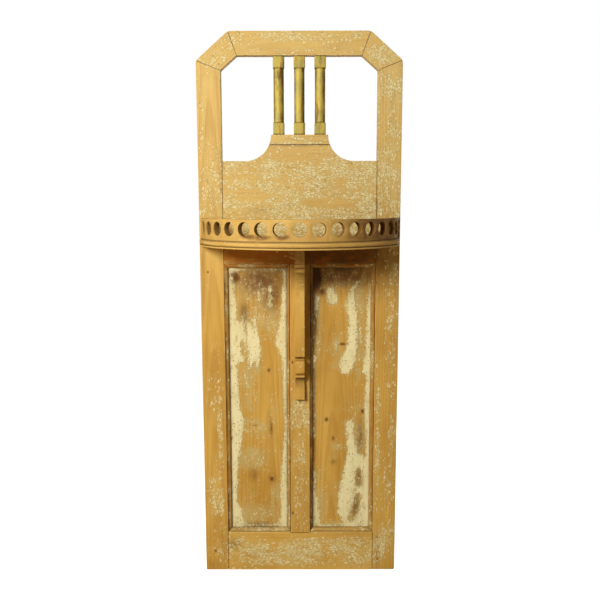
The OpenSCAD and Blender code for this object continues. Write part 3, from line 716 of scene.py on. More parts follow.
def gilt_paint(name, look, seed):
    """Old gilt paint on turned pine: mottled with green ochre and rubbed through to brown wood, with painted
    shade on the flanks and in the creases by the blocks.
    """
    material, tree, shader = new_material(name)
    at = place(tree)
    streaks = noise(stretched(at, (90, 90, 14), shift=(seed, 0, 0)), 1.0, 4.0, 0.65)
    blots = noise(stretched(at, (30, 30, 22), shift=(0, 0, seed)), 1.0, 4.0, 0.6)
    fine = noise(at, 500.0, 3.0, 0.6)
    shade = blend(smooth(blots, 0.4, 0.66), look.gilt, look.green_ochre)
    shade = blend(smooth(streaks, 0.5, 0.7) * 0.8, shade, look.brown)
    # Brown flanks: worn gilt and painted shade.
    flank = mark(tree, "stain_and_shade") * smooth(blots, 0.25, 0.55)
    shade = blend(flank, shade, look.brown)
    shade = blend(smooth(fine, 0.6, 0.75) * 0.5, shade, look.pale)
    # Dark joints and painted shade in the creases.
    shade = blend(mark(tree, "grime_and_shade") * 0.85, shade, look.dirt_and_shade)
    worn = mark(tree, "arris") * smooth(streaks, 0.4, 0.6)
    shade = blend(worn * 0.6, shade, look.ochre)
    rough = streaks * 0.6 + fine * 0.3
    finish_shader(shader, shade, 0.55, rough, 0.4 * MM, gloss=0.25, metal=0.1)
    return material


def old_steel(name, look):
    """Dull steel with brown spots."""
    material, tree, shader = new_material(name)
    at = place(tree)
    spots = noise(at, 180.0, 4.0, 0.65)
    scratches = noise(stretched(at, (900, 900, 60)), 1.0, 2.0)
    shade = blend(smooth(spots, 0.5, 0.68), look.steel, look.rust)
    dull = spots * 0.35 + 0.25
    rough = spots + scratches * 0.3
    finish_shader(shader, shade, dull, rough, 0.2 * MM, metal=0.8)
    return material


# ---- Sizes and colours a user may change ----

def tint(name, description, *rgb):
    """A colour that a user may change."""
    return FloatVectorProperty(name=name, description=description, subtype="COLOR", size=4,
                               default=(*rgb, 1.0), min=0, max=1)


class HallPanelFinish(bpy.types.PropertyGroup):
    """Colours of the wood, paints and metal, and the size of paint specks."""
    honey: tint("Honey pine", "Light early wood", 0.64, 0.385, 0.078)
    ochre: tint("Ochre pine", "Darker patches of stripped pine", 0.52, 0.285, 0.047)
    late_wood: tint("Late wood", "Dark lines of the growth rings", 0.36, 0.165, 0.022)
    pale: tint("Pale wood", "Bleached and rubbed wood", 0.74, 0.555, 0.22)
    panel_wood: tint("Panel wood", "Bare wood of the two panels", 0.50, 0.275, 0.043)
    # Brown also paints shadows and shade: the console's shadow, the gallery's far side and behind its face.
    brown: tint("Brown stain", "Dark brown stain and old varnish", 0.15, 0.058, 0.009)
    # The dirt colour also paints shade in creases, grooves, recesses and under the shelf.
    dirt_and_shade: tint("Dirt", "Dirt in joints and corners", 0.07, 0.028, 0.006)
    cream: tint("Cream paint", "Remains of the old paint", 0.80, 0.73, 0.42)
    varnish: tint("Old varnish", "Reddish varnish under the shelf", 0.42, 0.125, 0.002)
    aged_cream: tint("Aged cream paint", "Yellowed paint", 0.56, 0.47, 0.19)
    crack: tint("Cracks", "Cracks between islands of old paint", 0.30, 0.20, 0.045)
    veil: tint("Thin paint", "Veils of thin paint on the panels", 0.50, 0.39, 0.15)
    gilt: tint("Gilt paint", "Gilt paint of the spindles", 0.56, 0.43, 0.08)
    green_ochre: tint("Green ochre", "Tarnished gilt paint", 0.40, 0.35, 0.09)
    steel: tint("Steel", "Hanger plates, screws and pins", 0.32, 0.31, 0.29)
    rust: tint("Rust", "Spots on the steel", 0.16, 0.07, 0.03)
    speck_size: FloatProperty(name="Speck size", description="Size of the specks of old paint",
                              default=6.2 * MM, min=1 * MM, max=12 * MM, unit="LENGTH")


class HallPanelWear(bpy.types.PropertyGroup):
    """Sizes of the wear on boards and panels."""
    arris_least: FloatProperty(name="Least rounding", description="Smallest radius of a worn arris, in mm",
                               default=0.7, min=0.3, max=2)
    arris_most: FloatProperty(name="Most rounding", description="Largest radius of a worn arris, in mm",
                              default=2.2, min=0.8, max=5)
    unevenness: FloatProperty(name="Unevenness", description="Rise and fall of the boards' fronts",
                              default=0.25 * MM, min=0, max=1 * MM, unit="LENGTH")
    paint_thickness: FloatProperty(name="Paint thickness", description="Height of the paint on the panels",
                                   default=0.35 * MM, min=0, max=1 * MM, unit="LENGTH")
    edge_softness: FloatProperty(name="Edge softness", description="Rounding of the edges of small pieces",
                                 default=0.8 * MM, min=0.1 * MM, max=2 * MM, unit="LENGTH")


def finish_of(context):
    """The colours."""
    return context.scene.hall_panel_finish


def wear_of(context):
    """The wear sizes."""
    return context.scene.hall_panel_wear


# ---- Where old paint, stains and flaking paint lie ----

# Soft patches of paint specks on the frame: centre (x, z), radii, strength; lengths in mm
SPECKLED = [
    (0, 1772, 260, 14, 0.85), (0, 1740, 240, 22, 0.45), (-277, 1694, 60, 50, 0.5), (268, 1722, 55, 45, 0.8),
    (288, 1600, 34, 80, 1.0), (295, 1480, 24, 140, 0.8), (252, 1520, 9, 230, 0.8), (275, 1340, 38, 170, 0.85),
    (312, 1300, 14, 120, 1.1), (300, 900, 20, 330, 0.5), (0, 1226, 270, 18, 1.4), (195, 1352, 100, 42, 1.4),
    (0, 1310, 330, 110, 0.95), (-215, 1260, 24, 60, 1.0), (215, 1250, 30, 50, 1.3), (0, 1447, 84, 5, 1.4),
    (0, 1460, 90, 12, 0.4), (110, 84, 150, 38, 1.4), (-60, 62, 200, 38, 1.3), (200, 40, 60, 34, 1.1),
    (-180, 110, 60, 16, 0.7), (0, 560, 34, 70, 1.3), (0, 330, 24, 190, 0.7), (-305, 1500, 12, 160, 0.35),
    (276, 84, 14, 50, 1.4), (300, 130, 24, 60, 0.8), (-273, 1250, 8, 120, 0.5), (262, 420, 9, 300, 0.75),
    (-290, 250, 24, 120, 0.5), (310, 480, 14, 120, 0.6), (-285, 640, 26, 100, 0.45), (-270, 90, 24, 70, 0.75),
    (-50, 1380, 150, 30, 0.85), (20, 1184, 270, 34, 1.3), (40, 76, 190, 26, 1.3), (300, 290, 20, 90, 0.6),
    (310, 1080, 14, 60, 0.9), (-20, 1096, 20, 20, 0.4),
]
# Places rubbed bare among them, in the same form
BARE = [(80, 1258, 80, 15, 1.4), (-150, 1285, 70, 20, 1.1), (-60, 1330, 100, 10, 0.7),
        (-20, 1410, 70, 22, 0.8), (130, 1325, 26, 14, 0.6), (0, 1745, 120, 9, 0.5), (-130, 124, 90, 9, 0.6),
        (60, 126, 160, 7, 0.8), (-150, 1345, 60, 12, 0.6), (-200, 1225, 40, 14, 0.8)]
# A stroke of specks up the left stile: (x, z, radius)
SPECKLED_LINE = [(-272, 640, 4), (-268, 480, 6), (-272, 330, 5), (-266, 155, 5)]
# Brown stains, and painted shadow: the console's on the muntin and middle rail, the shelf's on the stiles'
# tops
STAINS_AND_SHADOWS = [
    (-228, 92, 26, 22, 0.8), (-150, 60, 60, 16, 0.3), (-125, 1235, 40, 12, 0.35), (-248, 1400, 8, 60, 0.4),
    (0, 1440, 100, 5, 0.5), (60, 1300, 60, 30, 0.15), (-315, 1100, 8, 200, 0.35), (318, 1000, 8, 260, 0.3),
    (200, 100, 24, 30, 0.25), (-300, 20, 24, 16, 0.3), (36, 980, 15, 190, 0.8), (38, 760, 10, 90, 0.5),
    (266, 66, 7, 50, 0.7), (246, 1246, 8, 24, 0.6), (150, 1096, 200, 90, 1.1), (322, 1200, 5, 24, 1.0),
    (300, 1115, 30, 20, 0.4), (-300, 1118, 30, 14, 0.3),
]

# Small knots, nail holes and dents on the frame's fronts: (x, z, half width, half height), in mm
SPLAT_HOLES = [(-25, 1370, 32, 1), (82, 1330, 3, 8), (50, 1345, 2, 6), (-60, 1356, 3, 3), (5, 1320, 8, 2),
               (-38, 1253, 9, 8), (22, 1383, 8, 1), (168, 1285, 4, 3), (246, 1245, 5, 7)]
LEFT_HOLES = [(-300, 1036, 5, 6), (-286, 1142, 5, 8), (-292, 70, 5, 6), (-262, 60, 3, 3)]
RIGHT_HOLES = [(323, 1208, 4, 14), (322, 1160, 3, 20), (264, 118, 6, 6), (268, 84, 4, 7), (272, 62, 5, 5),
               (266, 38, 4, 12), (252, 1000, 2, 8)]
MUNTIN_HOLES = [(-25, 734, 5, 7), (-26, 206, 5, 7)]

# Flaking paint on the two panels: each column's inner edge as (height, x), strokes of (x, z, radius) that are
# painted or bare, and veils of thin paint as (x, z, half width, half height, strength), in mm
LEFT_COLUMN = [(140, -180), (215, -200), (245, -215), (375, -210), (440, -200), (535, -185), (570, -200),
               (695, -205), (720, -210), (745, -180), (825, -180), (870, -195), (975, -215), (1060, -200)]
LEFT_RIGHT_COLUMN = [(140, -80), (215, -67), (300, -70), (415, -60), (515, -52), (610, -57), (750, -62),
                     (800, -85), (870, -67), (980, -60), (1060, -57)]
LEFT_PATCHES = [[(-172, 868, 8), (-165, 840, 15), (-156, 790, 22), (-160, 745, 15), (-165, 715, 6)],
                [(-150, 880, 7), (-143, 780, 15), (-142, 712, 6)],
                [(-192, 880, 10), (-188, 800, 14), (-192, 740, 10)], [(-132, 1010, 5), (-135, 945, 6)],
                [(-98, 985, 8), (-99, 925, 10)], [(-200, 632, 7)], [(-185, 688, 5), (-174, 646, 4)],
                [(-77, 886, 7)], [(-85, 845, 7)], [(-188, 538, 8)], [(-163, 548, 5)], [(-158, 376, 6)],
                [(-106, 270, 6)], [(-178, 272, 9)], [(-164, 218, 8)], [(-151, 170, 10)], [(-95, 543, 5)],
                [(-230, 160, 7), (-150, 158, 5), (-60, 160, 6)],
                [(-222, 1043, 5), (-140, 1041, 3), (-60, 1043, 5)], [(-212, 1020, 27)]]
LEFT_KNOTS = [(-214, 1017, 15, 18), (-196, 1034, 6, 5), (-104, 706, 6, 7), (-97, 326, 7, 8),
              (-97, 505, 3, 18), (-150, 515, 16, 2), (-238, 469, 4, 7)]
LEFT_BARE = [[(-214, 1017, 17)], [(-196, 930, 8), (-200, 880, 7)], [(-190, 800, 4), (-188, 760, 4)]]
LEFT_VEILS = [(-140, 980, 70, 60, 0.9), (-130, 890, 70, 40, 1.0), (-165, 700, 40, 60, 0.6),
              (-90, 860, 30, 50, 0.8), (-165, 600, 30, 50, 0.6), (-160, 510, 45, 30, 0.9),
              (-165, 400, 50, 40, 1.0), (-150, 190, 80, 45, 0.8), (-85, 250, 25, 70, 0.6),
              (-90, 560, 20, 60, 0.4)]
# Brown stains and knots; painted shade under the shelf and along the left edge
LEFT_STAINS_AND_SHADE = [(-214, 1017, 15, 17, 2.0), (-125, 1005, 70, 40, 0.8), (-90, 965, 34, 50, 0.7),
               (-185, 900, 14, 40, 0.5), (-60, 1040, 20, 12, 0.6), (-104, 706, 4, 6, 1.0),
               (-97, 326, 6, 8, 1.0), (-97, 326, 14, 16, 0.35), (-232, 469, 4, 8, 1.0),
               (-160, 340, 14, 20, 0.35), (-97, 505, 6, 30, 0.4), (-238, 600, 6, 460, 0.55),
               (-150, 160, 70, 10, 0.4)]
RIGHT_COLUMN = [(140, 56), (350, 55), (370, 38), (460, 38), (470, 50), (710, 50), (790, 63), (905, 60),
                (950, 68), (975, 40), (1060, 35)]
RIGHT_RIGHT_COLUMN = [(140, 205), (270, 212), (340, 205), (390, 206), (410, 222), (530, 218), (560, 212),
                      (640, 218), (685, 220), (700, 206), (760, 215), (920, 220), (1010, 232), (1060, 228)]
RIGHT_PATCHES = [
    [(102, 975, 14), (108, 945, 20)], [(192, 1000, 6), (172, 975, 10), (171, 957, 13), (169, 925, 20),
     (175, 888, 17), (176, 856, 16), (175, 792, 19), (165, 750, 23), (156, 725, 27), (153, 706, 16)],
    [(168, 520, 16), (170, 470, 14), (178, 430, 20), (188, 390, 34), (186, 330, 44), (176, 270, 46),
     (172, 215, 46), (180, 175, 36)],
    [(58, 158, 8), (130, 154, 5), (215, 160, 9)], [(78, 792, 11)], [(76, 658, 12)], [(136, 821, 4)],
    [(121, 808, 3), (120, 768, 4)], [(200, 850, 4), (203, 800, 5)], [(50, 250, 14), (58, 175, 14)],
]
# Knots; the last is the painted shadow beside the console
RIGHT_KNOTS_AND_SHADOW = [(73, 970, 9, 11), (142, 793, 12, 4), (89, 535, 5, 5), (211, 563, 6, 7), (46, 320, 4, 14),
               (153, 738, 12, 2), (112, 469, 4, 6), (50, 1016, 18, 34)]
RIGHT_BARE = [[(205, 520, 8), (203, 470, 12), (206, 425, 9)], [(198, 350, 9), (202, 310, 9)],
              [(200, 265, 6), (192, 225, 10), (176, 185, 9)], [(144, 789, 6)], [(56, 880, 5), (52, 760, 6)]]
RIGHT_VEILS = [(140, 1015, 90, 36, 0.8), (195, 930, 22, 90, 0.9), (195, 760, 16, 100, 0.7),
               (125, 440, 22, 12, 0.8), (200, 470, 18, 60, 1.0), (198, 330, 18, 40, 1.0),
               (186, 225, 24, 55, 1.0), (60, 850, 14, 90, 0.7), (75, 240, 24, 90, 0.5),
               (125, 800, 26, 40, 0.5), (120, 160, 60, 16, 0.6)]
# Brown stains and knots; painted shadow of the console, painted shade under the shelf and along the left edge
RIGHT_STAINS_AND_SHADOW = [(52, 1016, 20, 36, 1.6), (150, 1020, 100, 30, 0.9), (105, 1024, 22, 14, 0.6),
                (142, 794, 9, 4, 1.0), (89, 535, 5, 6, 1.0), (47, 319, 3, 12, 1.2), (211, 563, 5, 7, 0.9),
                (112, 469, 5, 8, 0.5), (73, 970, 10, 11, 1.0), (115, 385, 10, 8, 0.4),
                (46, 880, 12, 90, 0.9), (44, 560, 8, 420, 0.6), (203, 470, 10, 50, 0.5),
                (190, 225, 14, 45, 0.45), (200, 330, 10, 30, 0.5)]

# Painted shadow and shade on the panels: the console's shadow, the left panel's left edge, the right panel's
# top
PAINTED_SHADOWS = [(50, 1018, 24, 50, 1.6), (40, 940, 16, 90, 1.2), (-246, 600, 6, 480, 0.9), (140, 1050, 120, 14, 0.9)]


def holes(spots):
    """Centres and radii of small spots on the fronts, in metres."""
    return [((x * MM, FRONT_Y, z * MM), (w * MM, 20 * MM, h * MM)) for x, z, w, h in spots]


def in_metres(strokes):
    """Strokes of (x, z, radius) in metres."""
    return [[tuple(value * MM for value in at) for at in stroke] for stroke in strokes]


def spots_at(points, spots):
    """The strongest of several soft spots at each point."""
    x, z = points[:, 0], points[:, 2]
    return np.max([s * spot(x, z, cx * MM, cz * MM, rx * MM, rz * MM) for cx, cz, rx, rz, s in spots], axis=0)


def frame_marks(points):
    """Old paint, and stains with painted shadows, on the front of the frame's boards; edges and back have
    little.
    """
    front = np.clip((BACK_Y / 2 + FRONT_Y / 2 - points[:, 1]) / (6 * MM), 0, 1)
    x, z = points[:, 0], points[:, 2]
    line = stroke_depth(x, z, [(a * MM, b * MM, r * MM) for a, b, r in SPECKLED_LINE])
    paint = np.clip(spots_at(points, SPECKLED) - spots_at(points, BARE), 0, 1)
    paint = np.maximum(paint, np.clip(line / (3 * MM) + 0.6, 0, 1) * 0.9)
    uneven = 1.0 + 0.55 * fractal(x, z, 0.045, 5)
    return {"old_paint": np.clip(paint * uneven, 0, 1) * (0.25 + 0.75 * front) + 0.01,
            "stain_and_shade": np.clip(spots_at(points, STAINS_AND_SHADOWS), 0, 1) * front}


def column_depth(x, z, edge, towards):
    """Depth inside a ragged column whose inner edge is given by height; towards is 1 where it lies to the
    left."""
    heights, places = np.array(edge, float).T * MM
    return towards * (np.interp(z, heights, places) - x)


def paint_depth(x, z, left_column, right_column, patches, bare):
    """Depth in metres inside any painted patch of a panel and outside the bare ones, uneven by a value
    noise."""
    depth = np.maximum(column_depth(x, z, left_column, 1), column_depth(x, z, right_column, -1))
    depth = np.maximum(depth, deepest(x, z, in_metres(patches)))
    depth = np.minimum(depth, -deepest(x, z, in_metres(bare)))
    return np.clip(depth, -0.03, 0.014) + 1.5 * MM * fractal(x, z, 0.018, 21)


def panel_marks(paint, veils, stains_and_shade, painted_shadows, edges):
    """A function that works out a panel's paint, its stains with some painted shadow, and painted shade along
    its mouldings and in the spots of painted shadow."""
    def marks(points):
        x, z = points[:, 0], points[:, 2]
        front = (points[:, 1] < (PANEL_Y + PANEL_BACK_Y) / 2) * 1.0
        depth = paint_depth(x, z, *paint)
        inward = np.min([x - edges[0], edges[1] - x, z - edges[2], edges[3] - z], axis=0)
        # Painted shade at the foot of the mouldings, then the spots of painted shadow.
        grime_and_shade = np.clip(1 - (inward - 11 * MM) / (7 * MM), 0, 1) * 0.9
        grime_and_shade = np.clip(np.maximum(grime_and_shade, spots_at(points, painted_shadows)), 0, 1)
        sparse = np.clip(0.08 + 0.25 * fractal(x, z, 0.06, 31), 0.0, 1)
        return {"paint": np.where(front > 0, depth / MM, -30.0), "grime_and_shade": grime_and_shade * front,
                "stain_and_shade": np.clip(spots_at(points, stains_and_shade), 0, 1) * front,
                "old_paint": np.clip(np.maximum(sparse, spots_at(points, veils)), 0, 1) * front}
    return marks


# ---- The frame ----

def side_board(context, side, material):
    """One stile: its inner and outer edges run from the foot up to the corner piece's mitre."""
    wear = wear_of(context)
    inner = straight((side * INNER_X, 0), (side * INNER_X, INNER_CORNER_Z))
    inward = mitre_line((side * HALF_W, SIDE_CORNER_Z), (side * INNER_X, INNER_CORNER_Z))
    outer = worn_ends((side * HALF_W, 0), (side * HALF_W, SIDE_CORNER_Z), last=inward)
    edges, inner_corners, node, seed = (((outer, inner), (1, 2), "left_stile", 11) if side < 0 else
                                        ((inner, outer), (0, 3), "right_stile", 12))
    joints = [(corner, start / INNER_CORNER_Z, end / INNER_CORNER_Z) for corner in inner_corners
              for start, end in ((0, BOTTOM_RAIL_Z), (MIDDLE_RAIL_Z, SHOULDER_Z))]
    piece = board(node + "_worn", *edges, SIDE_CORNER_Z, (BACK_Y - BACK_GAP, FRONT_Y), seed, frame_marks,
                  worn=(wear.arris_least, wear.arris_most), joints=joints, jointed_ends=(False, True),
                  end_round=(4.5 * MM, 0.5 * MM), wave=wear.unevenness, spacing=3 * MM)
    finish_piece(piece, material, "stripped_pine", node)


def rail(context, name, low_path, high_path, length, seed, material, node, slot="stripped_pine", **extra):
    """A rail or another board of the frame with its CAD node's thickness."""
    wear = wear_of(context)
    piece = board(name, low_path, high_path, length, (BACK_Y - BACK_GAP, FRONT_Y), seed, frame_marks,
                  worn=(wear.arris_least, wear.arris_most), wave=wear.unevenness, **extra)
    finish_piece(piece, material, slot, node)


class HALLPANEL_OT_stiles(bpy.types.Operator):
    """Worn stiles with mitred upper ends"""
    bl_idname = "hall_panel.stiles"
    bl_label = "Stiles"

    def execute(self, context):
        look = finish_of(context)
        side_board(context, -1, pine("left_stile_pine", look, 3, off=0.286, depth=0.06, tilt=0.03,
                                     stains_and_shade=holes(LEFT_HOLES)))
        side_board(context, 1,
                   pine("right_stile_pine", look, 8, off=-0.3, depth=0.04, tilt=-0.022, tone=0.98,
                        stains_and_shade=holes(RIGHT_HOLES)))
        return {"FINISHED"}


class HALLPANEL_OT_top(bpy.types.Operator):
    """Top rail and the two slanted corner rails, mitred together"""
    bl_idname = "hall_panel.top"
    bl_label = "Top rail and corners"

    def execute(self, context):
        look = finish_of(context)
        ways = [mitre_line((side * TOP_CORNER_X, FRAME_TOP), (side * INNER_CORNER_X, TOP_RAIL_Z))
                for side in (-1, 1)]
        rail(context, "top_rail_worn",
             straight((-INNER_CORNER_X, TOP_RAIL_Z), (INNER_CORNER_X, TOP_RAIL_Z)),
             worn_ends((-TOP_CORNER_X, FRAME_TOP), (TOP_CORNER_X, FRAME_TOP), *ways), 2 * TOP_CORNER_X, 21,
             pine("top_rail_pine", look, 5, SIDEWAYS, off=-1.74, depth=0.07, scatter=0.06, rings=0.14),
             "top_rail", spacing=0.003)
        slant = math.atan2(SIDE_CORNER_Z - FRAME_TOP, HALF_W - TOP_CORNER_X)
        for side in (-1, 1):
            inner = straight((side * INNER_CORNER_X, TOP_RAIL_Z), (side * INNER_X, INNER_CORNER_Z))
            below = mitre_line((side * HALF_W, SIDE_CORNER_Z), (side * INNER_X, INNER_CORNER_Z))
            outer = worn_ends((side * TOP_CORNER_X, FRAME_TOP), (side * HALF_W, SIDE_CORNER_Z),
                              ways[side > 0], below)
            name = "left_corner_rail" if side < 0 else "right_corner_rail"
            turn = (0, math.pi / 2 + side * slant, 0)
            material = pine(name + "_pine", look, 30 + side, turn, off=0.03, depth=0.05, scatter=0.10)
            rail(context, name + "_worn", inner, outer, CORNER_RAIL_L, 23 + side, material, name,
                 front_step=6 * MM, spacing=2.5 * MM)
        return {"FINISHED"}


class HALLPANEL_OT_rails(bpy.types.Operator):
    """Middle rail behind the shelf, bottom rail and muntin"""
    bl_idname = "hall_panel.rails"
    bl_label = "Rails and muntin"

    def execute(self, context):
        look = finish_of(context)
        rail(context, "middle_rail_worn", straight((-INNER_X, MIDDLE_RAIL_Z), (INNER_X, MIDDLE_RAIL_Z)),
             straight((-INNER_X, SHELF_Z), (INNER_X, SHELF_Z)), 2 * INNER_X, 31,
             pine("middle_rail_pine", look, 14, SIDEWAYS, off=-1.1, brown=0.35, varnish=0.95), "middle_rail")
        foot = MUNTIN_HALF / (2 * INNER_X)

        def bottom_rail_top(share):
            """Straight, and let down under the muntin's foot."""
            points = straight((-INNER_X, BOTTOM_RAIL_Z), (INNER_X, BOTTOM_RAIL_Z))(share)
            points[:, 1] -= np.where(np.abs(share - 0.5) < foot, BOTTOM_RAIL_Z - MUNTIN_FOOT_Z, 0)
            return points

        rail(context, "bottom_rail_worn", straight((-INNER_X, 0), (INNER_X, 0)), bottom_rail_top,
             2 * INNER_X, 33,
             pine("bottom_rail_pine", look, 17, SIDEWAYS, off=-0.05, depth=0.09, scatter=0.1, rings=0.14),
             "bottom_rail", knots=(0.5 - foot, 0.5 + foot), joints=[(1, 0.5 - foot, 0.5 + foot)])
        rail(context, "muntin_worn", straight((-MUNTIN_HALF, MUNTIN_FOOT_Z), (-MUNTIN_HALF, MIDDLE_RAIL_Z)),
             straight((MUNTIN_HALF, MUNTIN_FOOT_Z), (MUNTIN_HALF, MIDDLE_RAIL_Z)),
             MIDDLE_RAIL_Z - MUNTIN_FOOT_Z, 35,
             pine("muntin_pine", look, 19, off=0.004, depth=0.035, tilt=0.04, tone=0.97,
                  stains_and_shade=holes(MUNTIN_HOLES)), "muntin")
        return {"FINISHED"}


class HALLPANEL_OT_splat(bpy.types.Operator):
    """Splat with two hollow curves, and the sill board glued on it with an open joint"""
    bl_idname = "hall_panel.splat"
    bl_label = "Splat and sill"

    def execute(self, context):
        look = finish_of(context)
        curve_x = SILL_HALF + CURVE_R
        top = high("splat")[2]

        def splat_top(share):
            """The shoulder's height, or the quarter circle above it near the middle, or the joint's
            height."""
            x = (2 * share - 1) * INNER_X
            inside = np.clip(curve_x - np.abs(x), 0, CURVE_R)
            z = SILL_TOP_Z - np.sqrt(CURVE_R ** 2 - inside ** 2)
            return np.stack([x, np.clip(z, SHOULDER_Z, top)], -1)

        def sill_side(side):
            """One end of the sill: the same quarter circle carried on upwards."""
            def place_at(share):
                z = SILL_Z + share * (SILL_TOP_Z - SILL_Z)
                x = curve_x - np.sqrt(CURVE_R ** 2 - (SILL_TOP_Z - z) ** 2)
                return np.stack([side * x, z], -1)
            return place_at

        curve_end = (curve_x - math.sqrt(CURVE_R ** 2 - (SILL_TOP_Z - top) ** 2)) / (2 * INNER_X)
        shoulder_end = curve_x / (2 * INNER_X)
        knots = (0.5 - shoulder_end, 0.5 - curve_end, 0.5 + curve_end, 0.5 + shoulder_end)
        wood = pine("splat_pine", look, 23, SIDEWAYS, off=-1.2, depth=0.03, tilt=0.02, period=0.011,
                    scatter=0.16, rings=0.1, stains_and_shade=holes(SPLAT_HOLES))
        rail(context, "splat_worn", straight((-INNER_X, SHELF_Z), (INNER_X, SHELF_Z)), splat_top,
             2 * INNER_X, 41, wood, "splat", spacing=0.0035, knots=knots,
             joints=[(1, 0.5 - curve_end, 0.5 + curve_end), (2, 0.5 - curve_end, 0.5 + curve_end)])
        rail(context, "spindle_sill_worn", sill_side(-1), sill_side(1), SILL_TOP_Z - SILL_Z, 43,
             pine("sill_pine", look, 27, SIDEWAYS, off=-1.46, depth=0.05, scatter=0.12), "spindle_sill",
             spacing=0.003, jointed_ends=(True, False))
        return {"FINISHED"}


# ---- Spindles ----

def spindle(name, node, centre_x, seed, material):
    """A shaft between square blocks, as sections stacked along the height. Each section is the boundary
    seen from the block's middle along even directions: the block is a square with rounded corners, the
    shaft a circle that touches the front and is cut flat at the back; a section near a block's end is a
    blend of the two."""
    half = (high(node)[0] - low(node)[0]) / 2
    back = BACK_Y - 0.3 * MM
    half_deep = (back - FRONT_Y) / 2
    middle_y = (back + FRONT_Y) / 2
    radius = SHAFT_R
    shaft_y = FRONT_Y + radius
    block = SPINDLE_BLOCK_H
    foot, head = SILL_TOP_Z + 0.1 * MM, TOP_RAIL_Z - 0.1 * MM
    edge = 0.9 * MM
    z = np.sort(np.r_[np.linspace(foot, foot + block, 9), foot + block - edge * np.array([0.6, 0.2]),
                      np.linspace(foot + block + 0.6 * MM, head - block - 0.6 * MM, 46),
                      np.linspace(head - block, head, 9), head - block + edge * np.array([0.2, 0.6])])
    turn = np.linspace(0, 2 * math.pi, 97)[:-1]
    dx, dy = np.cos(turn), np.sin(turn)
    power = 14.0
    reach = (np.abs(dx / half) ** power + np.abs(dy / half_deep) ** power) ** (-1 / power)
    square = np.stack([reach * dx, middle_y + reach * dy], -1)
    drop = middle_y - shaft_y
    along = -drop * dy + np.sqrt(np.maximum(radius ** 2 - (drop * dx) ** 2, 1e-12))
    round_shape = np.stack([along * dx, middle_y + along * dy], -1)
    round_shape[:, 1] = np.minimum(round_shape[:, 1], back)
    in_block = ((z < foot + block + 0.1 * MM) | (z > head - block - 0.1 * MM)).astype(float)
    to_end = np.minimum(np.abs(z - foot - block), np.abs(z - head + block))
    inset = np.where(in_block > 0, np.clip(edge - to_end, 0, edge) * 0.8, 0)
    shape = in_block[:, None, None] * square[None] + (1 - in_block)[:, None, None] * round_shape[None]
    centre = np.array([0, middle_y])
    scale = 1 - inset / half
    shape = centre + (shape - centre) * scale[:, None, None]
    swell = 1 - 0.10 * MM / radius * (1 + fractal(z * 3, np.zeros_like(z), 0.08, seed))
    shape[..., 0] *= np.where(in_block > 0, 1, swell)[:, None]
    sections = np.concatenate([shape[..., :1] + centre_x, shape[..., 1:],
                               np.broadcast_to(z[:, None, None], shape[..., :1].shape)], -1)
    # Painted shade in the crease where the shaft meets a block, lighter on the block; dark joints at both
    # ends.
    near_block = np.clip(1 - np.minimum(np.abs(z - foot - block), np.abs(z - head + block)) / (4 * MM), 0, 1)
    grime_and_shade = np.where(in_block > 0, 0.25 * near_block, near_block)[:, None] * np.ones((1, len(turn)))
    ends = np.clip(1 - np.minimum(z - foot, head - z) / (3 * MM), 0, 1)[:, None]
    grime_and_shade = np.maximum(grime_and_shade, ends * np.ones((1, len(turn))))
    corner = np.abs(np.abs(dx / half) - np.abs(dy / half_deep)) < 0.07
    arris = in_block[:, None] * corner[None, :] * 1.0
    # Brown flanks, more on the right: worn gilt and painted shade of the side away from the light.
    flank = np.clip((dx - 0.35) / 0.4, 0, 1) * 0.8 + np.clip((-dx - 0.72) / 0.2, 0, 1) * 0.7
    stain_and_shade = np.where(in_block[:, None] > 0, 0.35, 1.0) * flank[None, :]
    piece = closed_loft(name, sections, {"grime_and_shade": grime_and_shade, "arris": arris, "stain_and_shade": stain_and_shade})
    finish_piece(piece, material, "gilt_paint", node)


class HALLPANEL_OT_spindles(bpy.types.Operator):
    """Three spindles: round shafts between square blocks, planed flat at the back"""
    bl_idname = "hall_panel.spindles"
    bl_label = "Spindles"

    def execute(self, context):
        look = finish_of(context)
        for k, node in enumerate(("left_spindle", "centre_spindle", "right_spindle")):
            middle = (low(node)[0] + high(node)[0]) / 2
            material = gilt_paint(node + "_gilt", look, 2.0 + 3 * k)
            spindle(node + "_turned", node, middle, 51 + k, material)
        return {"FINISHED"}


# ---- Panels and mouldings ----

def painted_panel(context, side, paint, veils, stains_and_shade, knots, seed):
    """A flat board between the mouldings. Its front stands higher by the paint's thickness inside the
    patches."""
    wear = wear_of(context)
    sides = sorted((side * (MUNTIN_HALF - 1 * MM), side * (INNER_X + 1 * MM)))
    foot, head = BOTTOM_RAIL_Z - 1 * MM, MIDDLE_RAIL_Z + 1 * MM
    name = "left_panel" if side < 0 else "right_panel"

    def relief(x, z):
        """Paint stands on the wood, with a soft edge 1.5 mm wide; the wood has a slight washboard from the
        plane."""
        depth = paint_depth(x, z, *paint)
        plane = 0.12 * MM * np.sin(x / 0.021 + 1.5 * fractal(x, z, 0.3, seed + 9))
        return wear.paint_thickness * np.clip(depth / (1.5 * MM), 0, 1) + plane - wear.paint_thickness

    marks = panel_marks(paint, veils, stains_and_shade, PAINTED_SHADOWS, (sides[0], sides[1], foot, head))
    material = flaking_paint(name + "_paint", finish_of(context), seed, holes(knots), 0.11 * -side)
    piece = board(name + "_painted", straight((sides[0], foot), (sides[0], head)),
                  straight((sides[1], foot), (sides[1], head)), head - foot, (PANEL_BACK_Y, PANEL_Y), seed,
                  marks, spacing=0.0026, front_step=0.0026, back_step=0.03,
                  joints=[(k, 0, 1) for k in range(4)], wave=0.15 * MM, relief=relief)
    finish_piece(piece, material, "painted_pine", name)


